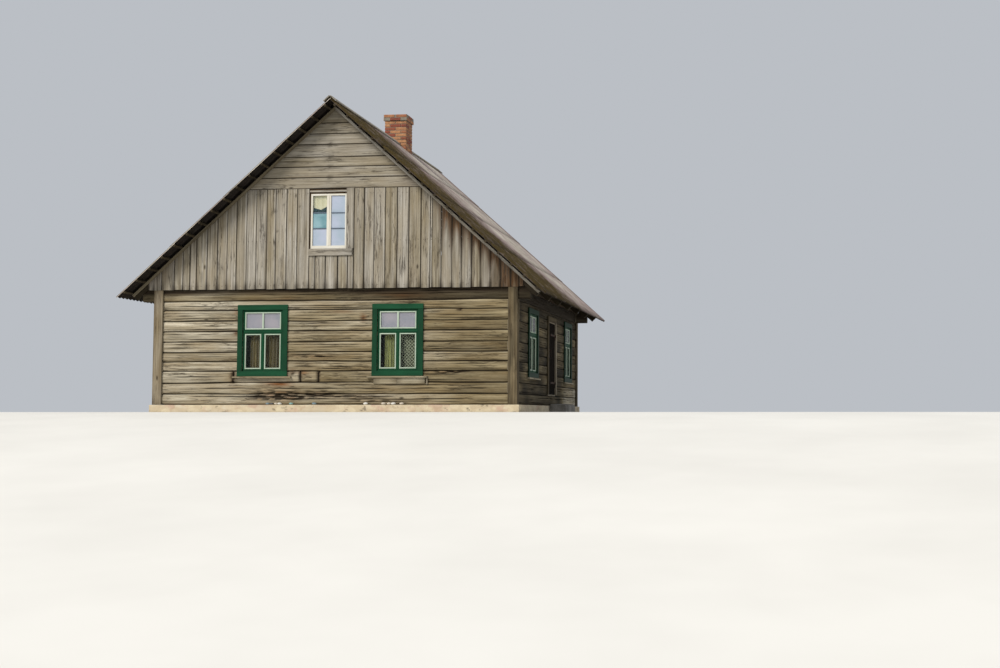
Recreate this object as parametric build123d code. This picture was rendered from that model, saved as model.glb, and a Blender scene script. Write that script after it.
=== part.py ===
from build123d import *
from math import cos, radians, sin, tan
import os

# Old farmhouse of hewn logs: one room deep, boarded gables, a steep roof of corrugated sheets.
# Millimetres. Origin on the ground, at the middle of the plan. The front gable faces -Y, up is +Z.

# Plan and log walls
house_width = 7500
house_length = 7400
wall_thickness = 180
foundation_height = 150
course_heights = [215, 225, 235, 195, 195, 200, 220, 205, 225, 185, 255]
log_arris = 12
bed_gap = 0.4
tie_log_reach = 280

# Foundation and door step
foundation_ledge_outside = 70
foundation_ledge_inside = 110
step_height = 190
step_depth = 420
step_width = 1150
step_worn_edge = 12

# Floors
floorboard_thickness = 35
joist_width = 120
ceiling_beam_width = 150
ceiling_beam_height = 160
attic_board_thickness = 30
attic_floor_gap = 40
edge_clearance = 5

# Roof
roof_pitch = 42
plate_width = 120
plate_height = 150
rafter_depth = 130
rafter_width = 80
rafter_pairs = 7
rafter_tail_setback = 130
batten_depth = 40
batten_width = 50
batten_spacing = 345
covering_thickness = 55
sheet_thickness = 12
wave_spacing = 150
wave_flat = 42
eaves_overhang = 680
verge_overhang = 400
ridge_board_width = 170
ridge_board_thickness = 22
top_batten_distance = 130

# Gables
gable_board_thickness = 25
gable_frame_offset = 20
gable_board_lap = 20
gable_overreach = 150
gable_band_above_window = 109
stud_size = 100
outer_stud_distance = 1900
board_joint = 0.5
batten_clearance = 3
verge_strip_width = 60
verge_strip_thickness = 20

# Corner boards
corner_board_width = 195
corner_side_width = 165
corner_board_thickness = 30

# Ground floor windows: the courses they are cut through, and each one's distance from its corner
window_courses = range(3, 9)
window_width = 840
front_window_insets = [2278, 2415]
side_window_insets = [1720, 1350]
left_window_insets = [1800, 1800]
casing_width = 105
casing_thickness = 25
frame_member = 44
frame_depth = 60
frame_setback = 8
transom_height = 90
top_light_height = 350
mullion_width = 70
glass_thickness = 5
glass_edge_gap = 0.3
glass_setback = 22
sill_height = 34
sill_projection = 55
sill_overhang = 90

# Attic windows, measured up from the attic floor
attic_window_place = -112
attic_window_width = 747
attic_sill_height = 597
attic_window_height = 1119
attic_window_setback = 10
attic_frame_member = 36
attic_mullion_width = 90
attic_opening_margin = 30
attic_trim_width = 155
attic_apron_height = 145
attic_trim_thickness = 22

# Entrance door in the right wall, hung on its back edge and opening outwards
door_place = 200
door_courses = range(1, 9)
door_opening_width = 900
door_frame_thickness = 50
threshold_height = 35
door_clearance = 5
door_leaf_thickness = 45
door_stop_width = 15
door_stop_depth = 25
door_casing_width = 115
door_casing_gap = 5.5
hinge_pin_radius = 5
hinge_pin_clearance = 0.3
hinge_knuckle_wall = 4.7
hinge_strap_height = 44
hinge_strap_length = 560
hinge_strap_thickness = 6
hinge_strap_setback = 1
hinge_inset = 260
pintle_plate_thickness = 5
pintle_plate_height = 90
pintle_plate_start = 5
pintle_arm_height = 12
pintle_arm_rim = 2
pintle_arm_reach = 12
pintle_riser_start = 8
hinge_seat_gap = 0.3
handle_height = 900
handle_length = 170
handle_radius = 8
handle_post_radius = 7
handle_stand_off = 42
handle_inset = 75
handle_plate_width = 46
handle_plate_margin = 25
handle_plate_thickness = 4

# Chimney, in the bay behind the middle rafters
chimney_size = 510
chimney_above_ridge = 620
chimney_timber_clearance = 15
chimney_seal_gap = 0.3
crown_height = 150
crown_projection = 30
flue_length = 270
flue_width = 140

# Levels and lines that follow from the sizes above
half_width = house_width / 2
half_length = house_length / 2
inner_half_width = half_width - wall_thickness
inner_half_length = half_length - wall_thickness
seams = [foundation_height + sum(course_heights[:count]) for count in range(len(course_heights) + 1)]
wall_top = seams[-1]
tie_log_bottom = seams[-2]
floor_top = seams[1]
attic_floor_top = wall_top + ceiling_beam_height + attic_board_thickness
window_bottom = seams[window_courses.start]
window_top = seams[window_courses.stop]
door_bottom = seams[door_courses.start]
door_top = seams[door_courses.stop]

rise = tan(radians(roof_pitch))
along = cos(radians(roof_pitch))
across = sin(radians(roof_pitch))
apex = wall_top + plate_height + half_width * rise
batten_plane = rafter_depth + batten_depth
covering_plane = batten_plane + covering_thickness
eaves_reach = (half_width + eaves_overhang - covering_plane * across) / along
rafter_reach = eaves_reach - rafter_tail_setback / along
ridge_top = apex + covering_plane / along
roof_half_length = half_length + verge_overhang
wave_count = round(2 * roof_half_length / wave_spacing)
wave_step = 2 * roof_half_length / wave_count

gable_face = half_length + gable_frame_offset
gable_outside = gable_face + gable_board_thickness
gable_bottom = wall_top - gable_board_lap
attic_window_bottom = attic_floor_top + attic_sill_height
attic_window_top = attic_window_bottom + attic_window_height
gable_band_level = attic_window_top + gable_band_above_window
first_rafter = gable_face - rafter_width / 2
rafter_spacing = 2 * first_rafter / (rafter_pairs - 1)
rafter_places = [-first_rafter + rafter_spacing * count for count in range(rafter_pairs)]
beam_places = [
    -inner_half_length + ceiling_beam_width / 2 + edge_clearance,
    *rafter_places[1:-1],
    inner_half_length - ceiling_beam_width / 2 - edge_clearance,
]

middle_rafter = rafter_pairs // 2
chimney_place = (rafter_places[middle_rafter] + rafter_places[middle_rafter + 1]) / 2
chimney_top = ridge_top + chimney_above_ridge


def block(x_range, y_range, z_range):
    """A box between two limits on each axis."""
    size = [high - low for low, high in (x_range, y_range, z_range)]
    middle = [(high + low) / 2 for low, high in (x_range, y_range, z_range)]
    return Pos(*middle) * Box(*size)


def prism_along_y(outline, y_range):
    """An outline of x, z points carried from one y to another."""
    wire = Wire.make_polygon([Vector(x, y_range[0], z) for x, z in outline], close=True)
    return Solid.extrude(Face(wire), Vector(0, y_range[1] - y_range[0], 0))


def save(node, pieces):
    """Write the pieces of one node, each a solid of its own."""
    solids = [solid for piece in pieces for solid in piece.solids()]
    shape = solids[0] if len(solids) == 1 else Compound(children=solids)
    shape.label = node
    export_step(shape, f"parts/{node}.step")


# Wall planes: local x runs to the right as seen from outside, local y is up, local z points outwards.
walls = {
    "front": Plane(origin=(0, -half_length, 0), x_dir=(1, 0, 0), z_dir=(0, -1, 0)),
    "back": Plane(origin=(0, half_length, 0), x_dir=(-1, 0, 0), z_dir=(0, 1, 0)),
    "left": Plane(origin=(-half_width, 0, 0), x_dir=(0, -1, 0), z_dir=(-1, 0, 0)),
    "right": Plane(origin=(half_width, 0, 0), x_dir=(0, 1, 0), z_dir=(1, 0, 0)),
}


def window_pair(half, insets):
    """Places of two windows along a wall, from their distances to the corners."""
    return [insets[0] - half, half - insets[1]]


window_places = {
    "front": window_pair(half_width, front_window_insets),
    "back": window_pair(half_width, front_window_insets),
    "left": window_pair(half_length, left_window_insets),
    "right": window_pair(half_length, side_window_insets),
}


def slope_point(distance, layer):
    """A point of the right slope, down from the ridge line and out from the rafters' underside."""
    return distance * along + layer * across, apex - distance * across + layer * along


def ridge_start(layer):
    """Where a roof layer meets the upright plane through the ridge."""
    return -layer * rise


def slope_prism(side, start_x, reach, low_layer, high_layer, y_range):
    """A layer of the roof with a plumb cut at start_x and a square cut at its lower end."""
    low_start = (start_x - low_layer * across) / along
    high_start = (start_x - high_layer * across) / along
    outline = [
        slope_point(low_start, low_layer),
        slope_point(reach, low_layer),
        slope_point(reach, high_layer),
        slope_point(high_start, high_layer),
    ]
    return prism_along_y([(side * x, z) for x, z in outline], y_range)


def underside(x, layer=0):
    """Height of a roof layer above a given distance from the middle."""
    return apex + layer / along - abs(x) * rise


def chimney_hole(clearance):
    """The space kept free round the stack where it goes through a floor or the roof."""
    half = chimney_size / 2 + clearance
    return block((-half, half), (chimney_place - half, chimney_place + half), (0, chimney_top))


def foundation():
    outer_x = half_width + foundation_ledge_outside
    outer_y = half_length + foundation_ledge_outside
    inner_x = inner_half_width - foundation_ledge_inside
    inner_y = inner_half_length - foundation_ledge_inside
    height = (0, foundation_height)
    pieces = []
    for side in (-1, 1):
        y_range = sorted((side * inner_y, side * outer_y))
        pieces.append(block((-outer_x, outer_x), y_range, height))
        x_range = sorted((side * inner_x, side * outer_x))
        reach = inner_y - board_joint
        pieces.append(block(x_range, (-reach, reach), height))
    return pieces


def door_step():
    near = half_width + foundation_ledge_outside
    half = step_width / 2
    step = block((near, near + step_depth), (door_place - half, door_place + half), (0, step_height))
    return [chamfer(step.edges().group_by(Axis.Z)[-1], step_worn_edge)]


def floor_joists():
    half = joist_width / 2
    end = inner_half_length - half - edge_clearance
    places = [-end, *rafter_places[1:-1], end]
    top = floor_top - floorboard_thickness
    reach = inner_half_width - edge_clearance
    return [block((-reach, reach), (y - half, y + half), (foundation_height, top)) for y in places]


def floor_round_stack(reach_x, reach_y, z_range, clearance):
    """Boarding in four fields: in front of the chimney stack, behind it, and to its left and right."""
    half = chimney_size / 2 + clearance
    front = chimney_place - half
    back = chimney_place + half
    return [
        block((-reach_x, reach_x), (-reach_y, front), z_range),
        block((-reach_x, reach_x), (back, reach_y), z_range),
        block((-reach_x, -half), (front, back), z_range),
        block((half, reach_x), (front, back), z_range),
    ]


def floorboards():
    reach_x = inner_half_width - edge_clearance
    reach_y = inner_half_length - edge_clearance
    height = (floor_top - floorboard_thickness, floor_top)
    return floor_round_stack(reach_x, reach_y, height, chimney_seal_gap)


def log(start, end, low, high):
    """One hewn log on a wall plane, with its long edges dressed off."""
    middle = ((start + end) / 2, (low + high) / 2, -wall_thickness / 2)
    beam = Pos(*middle) * Box(end - start, high - low, wall_thickness)
    return chamfer(beam.edges().filter_by(Axis.X), log_arris)


def wall_openings(wall):
    """The gaps cut through a wall: start, end, bottom and top."""
    half = window_width / 2
    gaps = [(place - half, place + half, window_bottom, window_top) for place in window_places[wall]]
    if wall == "right":
        half = door_opening_width / 2
        gaps.append((door_place - half, door_place + half, door_bottom, door_top))
    return sorted(gaps)


def trimmed_tie(solid):
    """Cut the ends of a tie log to the underside of the rafters."""
    reach = half_width + tie_log_reach + wall_thickness
    low = underside(reach)
    outline = [(-reach, low), (0, apex), (reach, low), (reach, apex), (-reach, apex)]
    over = prism_along_y(outline, (-half_length - wall_thickness, half_length + wall_thickness))
    return solid - over


def log_wall(wall):
    """The courses of one wall: the walls take turns at running through the corners."""
    on_gable = wall in ("front", "back")
    half = half_width if on_gable else half_length
    pieces = []
    for course in range(len(course_heights)):
        low = seams[course] + bed_gap / 2
        high = seams[course + 1] - bed_gap / 2
        runs_through = (course % 2 == 0) == on_gable
        reach = half if runs_through else half - wall_thickness
        is_tie = on_gable and course == len(course_heights) - 1
        if is_tie:
            reach = half + tie_log_reach
        start = -reach
        cuts = [gap for gap in wall_openings(wall) if gap[2] < high and gap[3] > low]
        for gap_start, gap_end, _, _ in cuts:
            pieces.append(walls[wall] * log(start, gap_start, low, high))
            start = gap_end
        last = walls[wall] * log(start, reach, low, high)
        pieces.append(trimmed_tie(last) if is_tie else last)
    return pieces


def corner_boards():
    """Two boards at each corner that hide the ends of the logs."""
    outer_x = half_width + corner_board_thickness
    outer_y = half_length + corner_board_thickness
    pieces = []
    for side_x in (-1, 1):
        for side_y in (-1, 1):
            x_range = sorted((side_x * (outer_x - corner_board_width), side_x * outer_x))
            y_range = sorted((side_y * half_length, side_y * outer_y))
            pieces.append(block(x_range, y_range, (foundation_height, gable_bottom)))
            x_range = sorted((side_x * half_width, side_x * outer_x))
            edge = half_length - board_joint
            y_range = sorted((side_y * (edge - corner_side_width), side_y * edge))
            pieces.append(block(x_range, y_range, (foundation_height, tie_log_bottom)))
    return pieces


def wall_plates():
    """Plates on the side walls, with their tops sloped for the rafters."""
    inner = half_width - plate_width
    outline = [
        (inner, wall_top),
        (half_width, wall_top),
        (half_width, underside(half_width)),
        (inner, underside(inner)),
    ]
    reach = (-gable_face, gable_face)
    return [prism_along_y([(side * x, z) for x, z in outline], reach) for side in (-1, 1)]


def ceiling_beams():
    half = ceiling_beam_width / 2
    reach = half_width - plate_width
    height = (wall_top, wall_top + ceiling_beam_height)
    return [block((-reach, reach), (y - half, y + half), height) for y in beam_places]


def attic_floor():
    reach_x = half_width - plate_width - attic_floor_gap
    reach_y = gable_face - stud_size - edge_clearance
    height = (attic_floor_top - attic_board_thickness, attic_floor_top)
    return floor_round_stack(reach_x, reach_y, height, chimney_timber_clearance)


def rafters(side):
    half = rafter_width / 2
    spans = [(y - half, y + half) for y in rafter_places]
    return [slope_prism(side, 0, rafter_reach, 0, rafter_depth, y_range) for y_range in spans]


def battens(side):
    """Battens from the ridge to the rafters' tails, at even distances, interrupted at the chimney."""
    first = ridge_start(batten_plane) + top_batten_distance
    last = rafter_reach - batten_width
    count = round((last - first) / batten_spacing) + 1
    hole = chimney_hole(chimney_timber_clearance)
    y_range = (-roof_half_length, roof_half_length)
    pieces = []
    for index in range(count):
        top = first + (last - first) * index / (count - 1)
        outline = [
            slope_point(top, rafter_depth),
            slope_point(top + batten_width, rafter_depth),
            slope_point(top + batten_width, batten_plane),
            slope_point(top, batten_plane),
        ]
        batten = prism_along_y([(side * x, z) for x, z in outline], y_range)
        pieces.append(batten - hole)
    return pieces


def wave_line(low_layer, high_layer):
    """One face of the corrugated sheets from verge to verge: flat hollows and crests, as y and layer."""
    half_flat = wave_flat / 2
    points = [(-roof_half_length, low_layer)]
    for count in range(wave_count):
        hollow = -roof_half_length + count * wave_step
        crest = hollow + wave_step / 2
        points += [
            (hollow + half_flat, low_layer),
            (crest - half_flat, high_layer),
            (crest + half_flat, high_layer),
            (hollow + wave_step - half_flat, low_layer),
        ]
    points.append((roof_half_length, low_layer))
    return points


def roof_covering(side):
    """Corrugated sheets as one skin, which lies on the battens in its hollows."""
    lower = wave_line(batten_plane, covering_plane - sheet_thickness)
    upper = wave_line(batten_plane + sheet_thickness, covering_plane)
    start = ridge_start(covering_plane)
    corners = []
    for y, layer in lower + upper[::-1]:
        x, z = slope_point(start, layer)
        corners.append(Vector(side * x, y, z))
    length = eaves_reach - start
    downwards = Vector(side * along * length, 0, -across * length)
    skin = Solid.extrude(Face(Wire.make_polygon(corners, close=True)), downwards)
    other_side = block(sorted((0, -side * half_width)), (-house_length, house_length), (0, chimney_top))
    return [skin - other_side - chimney_hole(chimney_seal_gap)]


def ridge_boards():
    hole = chimney_hole(chimney_timber_clearance)
    pieces = []
    for side in (-1, 1):
        top = covering_plane + ridge_board_thickness
        reach = ridge_start(covering_plane) + ridge_board_width
        y_range = (-roof_half_length, roof_half_length)
        board = slope_prism(side, board_joint / 2, reach, covering_plane, top, y_range)
        pieces.append(board - hole)
    return pieces


def gable_outline(x_range, z_range, layer):
    """The part of the gable between two uprights and two levels, under a roof layer."""
    left, right = x_range
    low, high = z_range
    slope_start = (apex + layer / along - high) / rise
    corners = [(left, low), (right, low), (right, min(high, underside(right, layer)))]
    if slope_start > 0:
        crossings = [x for x in (slope_start, -slope_start) if left < x < right]
        corners += [(x, high) for x in crossings]
    elif left < 0 < right:
        corners.append((0, underside(0, layer)))
    corners.append((left, min(high, underside(left, layer))))
    return corners


def gable_wall(end):
    """Sheeting of one gable: upright boards round the attic window, and level boards above the band."""
    layer = rafter_depth - batten_clearance * along
    reach = half_width + gable_overreach
    left = attic_window_place - attic_window_width / 2 - attic_opening_margin
    right = attic_window_place + attic_window_width / 2 + attic_opening_margin
    y_range = sorted((end * gable_face, end * gable_outside))
    band = gable_band_level - board_joint
    fields = [
        ((-reach, left - board_joint), (gable_bottom, band)),
        ((right + board_joint, reach), (gable_bottom, band)),
        ((left, right), (gable_bottom, attic_window_bottom)),
        ((left, right), (attic_window_top + attic_opening_margin, band)),
    ]
    flip = -end
    lower = []
    for x_range, z_range in fields:
        outline = gable_outline(x_range, z_range, layer)
        lower.append(prism_along_y([(flip * x, z) for x, z in outline], y_range))
    top_reach = (apex + layer / along - gable_band_level) / rise
    triangle = [(-top_reach, gable_band_level), (top_reach, gable_band_level), (0, underside(0, layer))]
    return lower, [prism_along_y(triangle, y_range)]


def verge_strips():
    """A thin board along the top of each gable's sheeting."""
    low = rafter_depth - verge_strip_width - batten_clearance
    high = rafter_depth - batten_clearance
    pieces = []
    for end in (-1, 1):
        y_range = sorted((end * gable_outside, end * (gable_outside + verge_strip_thickness)))
        for side in (-1, 1):
            pieces.append(slope_prism(side, board_joint / 2, rafter_reach, low, high, y_range))
    return pieces


def gable_studs():
    """Studs and rails behind the gable sheeting, which hold the attic windows."""
    window_left = attic_window_place - attic_window_width / 2
    window_right = attic_window_place + attic_window_width / 2
    pieces = []
    for end in (-1, 1):
        y_range = sorted((end * gable_face, end * (gable_face - stud_size)))
        starts = [-outer_stud_distance, window_left - stud_size]
        starts += [window_right, outer_stud_distance - stud_size]
        for start in starts:
            outline = gable_outline((start, start + stud_size), (wall_top, apex), 0)
            pieces.append(prism_along_y([(-end * x, z) for x, z in outline], y_range))
        x_range = sorted((-end * (window_left + board_joint), -end * (window_right - board_joint)))
        sill = (attic_window_bottom - stud_size, attic_window_bottom)
        head = (attic_window_top, attic_window_top + stud_size)
        pieces.append(block(x_range, y_range, sill))
        pieces.append(block(x_range, y_range, head))
    return pieces


def local_block(wall, x_range, z_range, out_range):
    """A box on a wall: along the wall, up, and outwards from the face of the logs."""
    return walls[wall] * block(x_range, z_range, out_range)


def window_casing(wall, place):
    """Four boards round a window, on the face of the logs."""
    half = window_width / 2
    outer = half + casing_width
    side_height = (window_bottom + board_joint, window_top - board_joint)
    out = (0, casing_thickness)
    return [
        local_block(wall, (place - outer, place - half), side_height, out),
        local_block(wall, (place + half, place + outer), side_height, out),
        local_block(wall, (place - outer, place + outer), (window_top, window_top + casing_width), out),
        local_block(wall, (place - outer, place + outer), (window_bottom - casing_width, window_bottom), out),
    ]


def window_lights(place):
    """The glazed openings of a ground floor window: a top light over two casements."""
    half = window_width / 2 - frame_member
    low = window_bottom + frame_member
    high = window_top - frame_member
    transom_top = high - top_light_height
    transom_bottom = transom_top - transom_height
    return [
        ((place - half, place + half), (transom_top, high)),
        ((place - half, place - mullion_width / 2), (low, transom_bottom)),
        ((place + mullion_width / 2, place + half), (low, transom_bottom)),
    ]


def window_frame(wall, place):
    """Stiles over the whole height, with the rails, the transom and the mullion between them."""
    half = window_width / 2
    top_light, left_light, right_light = window_lights(place)
    left, right = top_light[0]
    mullion = (left_light[0][1], right_light[0][0])
    low, transom_bottom = left_light[1]
    transom_top, high = top_light[1]
    out = (-frame_setback - frame_depth, -frame_setback)
    members = [
        ((place - half, left), (window_bottom, window_top)),
        ((right, place + half), (window_bottom, window_top)),
        ((left, right), (window_bottom, low)),
        ((left, right), (transom_bottom, transom_top)),
        ((left, right), (high, window_top)),
        (mullion, (low, transom_bottom)),
    ]
    return [local_block(wall, x_range, z_range, out) for x_range, z_range in members]


def panes(wall, lights, front):
    """One sheet of glass in each light, held clear of the frame by a hairline."""
    gap = glass_edge_gap
    out = (front - glass_thickness, front)
    return [
        local_block(wall, (x[0] + gap, x[1] - gap), (z[0] + gap, z[1] - gap), out)
        for x, z in lights
    ]


def window_sill(wall, place):
    outer = window_width / 2 + casing_width + sill_overhang
    top = window_bottom - casing_width
    return local_block(wall, (place - outer, place + outer), (top - sill_height, top), (0, sill_projection))


def attic_lights():
    """Two tall casements side by side."""
    half = attic_window_width / 2 - attic_frame_member
    low = attic_window_bottom + attic_frame_member
    high = attic_window_top - attic_frame_member
    left = (attic_window_place - half, attic_window_place - attic_mullion_width / 2)
    right = (attic_window_place + attic_mullion_width / 2, attic_window_place + half)
    return [(left, (low, high)), (right, (low, high))]


def attic_frame(wall):
    """Two stiles, with the rails and the middle member between them."""
    half = attic_window_width / 2
    front = gable_outside - half_length - attic_window_setback
    out = (front - frame_depth, front)
    left_light, right_light = attic_lights()
    left, middle_start = left_light[0]
    middle_end, right = right_light[0]
    low, high = left_light[1]
    members = [
        ((attic_window_place - half, left), (attic_window_bottom, attic_window_top)),
        ((right, attic_window_place + half), (attic_window_bottom, attic_window_top)),
        ((left, right), (attic_window_bottom, low)),
        ((left, right), (high, attic_window_top)),
        ((middle_start, middle_end), (low, high)),
    ]
    return [local_block(wall, x_range, z_range, out) for x_range, z_range in members]


def attic_panes(wall):
    front = gable_outside - half_length - attic_window_setback - glass_setback
    return panes(wall, attic_lights(), front)


def attic_trims(wall):
    """A board beside each attic window and an apron under it."""
    front = gable_outside - half_length
    out = (front, front + attic_trim_thickness)
    half = attic_window_width / 2
    right = attic_window_place + half
    apron_left = attic_window_place - half - attic_opening_margin
    return [
        local_block(wall, (right, right + attic_trim_width), (attic_window_bottom, gable_band_level), out),
        local_block(
            wall,
            (apron_left, right + attic_trim_width - attic_opening_margin),
            (attic_window_bottom - attic_apron_height, attic_window_bottom - board_joint),
            out,
        ),
    ]


# The door: places along the wall, up, and outwards from the face of the logs
frame_half = door_opening_width / 2 - door_frame_thickness
leaf_half = frame_half - door_clearance
leaf_bottom = door_bottom + threshold_height + door_clearance
leaf_top = door_top - door_frame_thickness - door_clearance
hinge_line = door_place + leaf_half + door_clearance / 2
hinge_levels = [leaf_bottom + hinge_inset, leaf_top - hinge_inset]
hinge_bore_radius = hinge_pin_radius + hinge_pin_clearance
hinge_knuckle_radius = hinge_bore_radius + hinge_knuckle_wall
hinge_pin_stand_off = hinge_knuckle_radius + hinge_strap_thickness
pintle_end = hinge_line + hinge_knuckle_radius + pintle_arm_reach
casing_inner = pintle_end + door_casing_gap - door_place


def door_frame():
    """Head, threshold and two jambs, with a stop on each jamb behind the leaf."""
    half = door_opening_width / 2
    width = (door_place - half, door_place + half)
    depth = (-wall_thickness, 0)
    threshold = (door_bottom, door_bottom + threshold_height)
    head = (door_top - door_frame_thickness, door_top)
    jamb_height = (threshold[1] + board_joint, head[0] - board_joint)
    stop_front = -door_leaf_thickness - door_clearance
    stop = (stop_front - door_stop_depth, stop_front)
    pieces = [local_block("right", width, head, depth), local_block("right", width, threshold, depth)]
    for side in (-1, 1):
        stop_half = frame_half - door_stop_width
        jamb_range = sorted((door_place + side * frame_half, door_place + side * half))
        stop_range = sorted((door_place + side * stop_half, door_place + side * frame_half))
        pieces.append(local_block("right", jamb_range, jamb_height, depth))
        pieces.append(local_block("right", stop_range, jamb_height, stop))
    return pieces


def door_casing():
    """Boards beside and over the doorway, on the face of the logs, clear of the hinge pins."""
    outer = casing_inner + door_casing_width
    low = door_bottom + threshold_height
    high = door_top - door_frame_thickness + casing_inner - frame_half
    out = (0, casing_thickness)
    head_width = (door_place - outer, door_place + outer)
    pieces = [local_block("right", head_width, (high, high + door_casing_width), out)]
    for side in (-1, 1):
        x_range = sorted((door_place + side * casing_inner, door_place + side * outer))
        pieces.append(local_block("right", x_range, (low, high - board_joint), out))
    return pieces


def door_leaf():
    x_range = (door_place - leaf_half, door_place + leaf_half)
    return [local_block("right", x_range, (leaf_bottom, leaf_top), (-door_leaf_thickness, 0))]


def upright_rod(level_range, radius, line=hinge_line, stand_off=hinge_pin_stand_off):
    """A round bar that stands upright in front of the wall."""
    height = level_range[1] - level_range[0]
    middle = (level_range[0] + level_range[1]) / 2
    return Pos(half_width + stand_off, line, middle) * Cylinder(radius, height)


def door_straps():
    """Two strap hinges on the leaf, each with a knuckle round its pin."""
    pieces = []
    for level in hinge_levels:
        z_range = (level - hinge_strap_height / 2, level + hinge_strap_height / 2)
        end = hinge_line - hinge_pin_radius - hinge_strap_setback
        strap = local_block("right", (end - hinge_strap_length, end), z_range, (0, hinge_strap_thickness))
        web_start = hinge_line - hinge_knuckle_radius - hinge_pin_radius
        web = local_block("right", (web_start, end), z_range, (0, hinge_pin_stand_off))
        knuckle = upright_rod(z_range, hinge_knuckle_radius)
        bore = upright_rod(z_range, hinge_bore_radius)
        pieces.append(strap + web + knuckle - bore)
    return pieces


def door_pintles():
    """The pins that carry the leaf, each on an arm and a plate on the door frame."""
    pieces = []
    for level in hinge_levels:
        seat = level - hinge_strap_height / 2 - hinge_seat_gap
        arm_low = seat - pintle_arm_height
        half = hinge_pin_radius + pintle_arm_rim
        arm_out = (hinge_pin_stand_off - half, hinge_pin_stand_off + half)
        arm = local_block("right", (hinge_line - half, pintle_end), (arm_low, seat), arm_out)
        riser_range = (hinge_line + pintle_riser_start, pintle_end)
        riser = local_block("right", riser_range, (arm_low, seat), (0, arm_out[1]))
        plate_range = (hinge_line + pintle_plate_start, pintle_end)
        plate_levels = (seat - pintle_plate_height, seat)
        plate = local_block("right", plate_range, plate_levels, (0, pintle_plate_thickness))
        pin = upright_rod((arm_low, level + hinge_strap_height / 2), hinge_pin_radius)
        pieces.append(arm + riser + plate + pin)
    return pieces


def door_handle():
    """A bow handle on a plate, near the free edge of the leaf."""
    line = door_place - leaf_half + handle_inset
    middle = leaf_bottom + handle_height
    level = (middle - handle_length / 2, middle + handle_length / 2)
    plate_level = (level[0] - handle_plate_margin, level[1] + handle_plate_margin)
    plate_range = (line - handle_plate_width / 2, line + handle_plate_width / 2)
    handle = local_block("right", plate_range, plate_level, (0, handle_plate_thickness))
    bar_level = (level[0] - handle_radius, level[1] + handle_radius)
    handle += upright_rod(bar_level, handle_radius, line, handle_stand_off)
    for height in level:
        post = Pos(half_width + handle_stand_off / 2, line, height) * Rot(0, 90, 0)
        handle += post * Cylinder(handle_post_radius, handle_stand_off)
    return [handle]


def chimney_stack():
    half = chimney_size / 2
    y_range = (chimney_place - half, chimney_place + half)
    return [block((-half, half), y_range, (0, chimney_top - crown_height))]


def chimney_crown():
    """The wider courses at the top, open at the flue."""
    half = chimney_size / 2 + crown_projection
    height = (chimney_top - crown_height, chimney_top)
    crown = block((-half, half), (chimney_place - half, chimney_place + half), height)
    flue_x = (-flue_length / 2, flue_length / 2)
    flue_y = (chimney_place - flue_width / 2, chimney_place + flue_width / 2)
    return [crown - block(flue_x, flue_y, height)]


def build():
    save("foundation", foundation())
    save("door_step", door_step())
    save("floor_joists", floor_joists())
    save("floorboards", floorboards())
    for wall, places in window_places.items():
        save(f"log_wall_{wall}", log_wall(wall))
        save(f"window_frames_{wall}", window_frame(wall, places[0]) + window_frame(wall, places[1]))
    save("corner_boards", corner_boards())
    save("wall_plates", wall_plates())
    save("ceiling_beams", ceiling_beams())
    save("attic_floor", attic_floor())
    for name, side in (("left", -1), ("right", 1)):
        save(f"rafters_{name}", rafters(side))
        save(f"roof_battens_{name}", battens(side))
        save(f"roof_covering_{name}", roof_covering(side))
    save("ridge_boards", ridge_boards())
    for name, end in (("front", -1), ("back", 1)):
        lower, upper = gable_wall(end)
        save(f"gable_boards_{name}", lower)
        save(f"gable_peak_{name}", upper)
    save("verge_strips", verge_strips())
    save("gable_studs", gable_studs())
    casings = []
    glass = []
    sills = []
    for wall, places in window_places.items():
        for place in places:
            casings += window_casing(wall, place)
            glass += panes(wall, window_lights(place), -frame_setback - glass_setback)
            sills.append(window_sill(wall, place))
    save("window_casings", casings)
    save("window_glass", glass)
    save("window_sills", sills)
    save("attic_window_frames", attic_frame("front") + attic_frame("back"))
    save("attic_window_glass", attic_panes("front") + attic_panes("back"))
    save("attic_window_trims", attic_trims("front") + attic_trims("back"))
    save("door_frame", door_frame())
    save("door_casing", door_casing())
    save("door_leaf", door_leaf())
    save("door_straps", door_straps())
    save("door_pintles", door_pintles())
    save("door_handle", door_handle())
    save("chimney_stack", chimney_stack())
    save("chimney_crown", chimney_crown())


os.makedirs("parts", exist_ok=True)
build()
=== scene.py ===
import math
import random

import bmesh
import bpy
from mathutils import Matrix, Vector, noise


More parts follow.
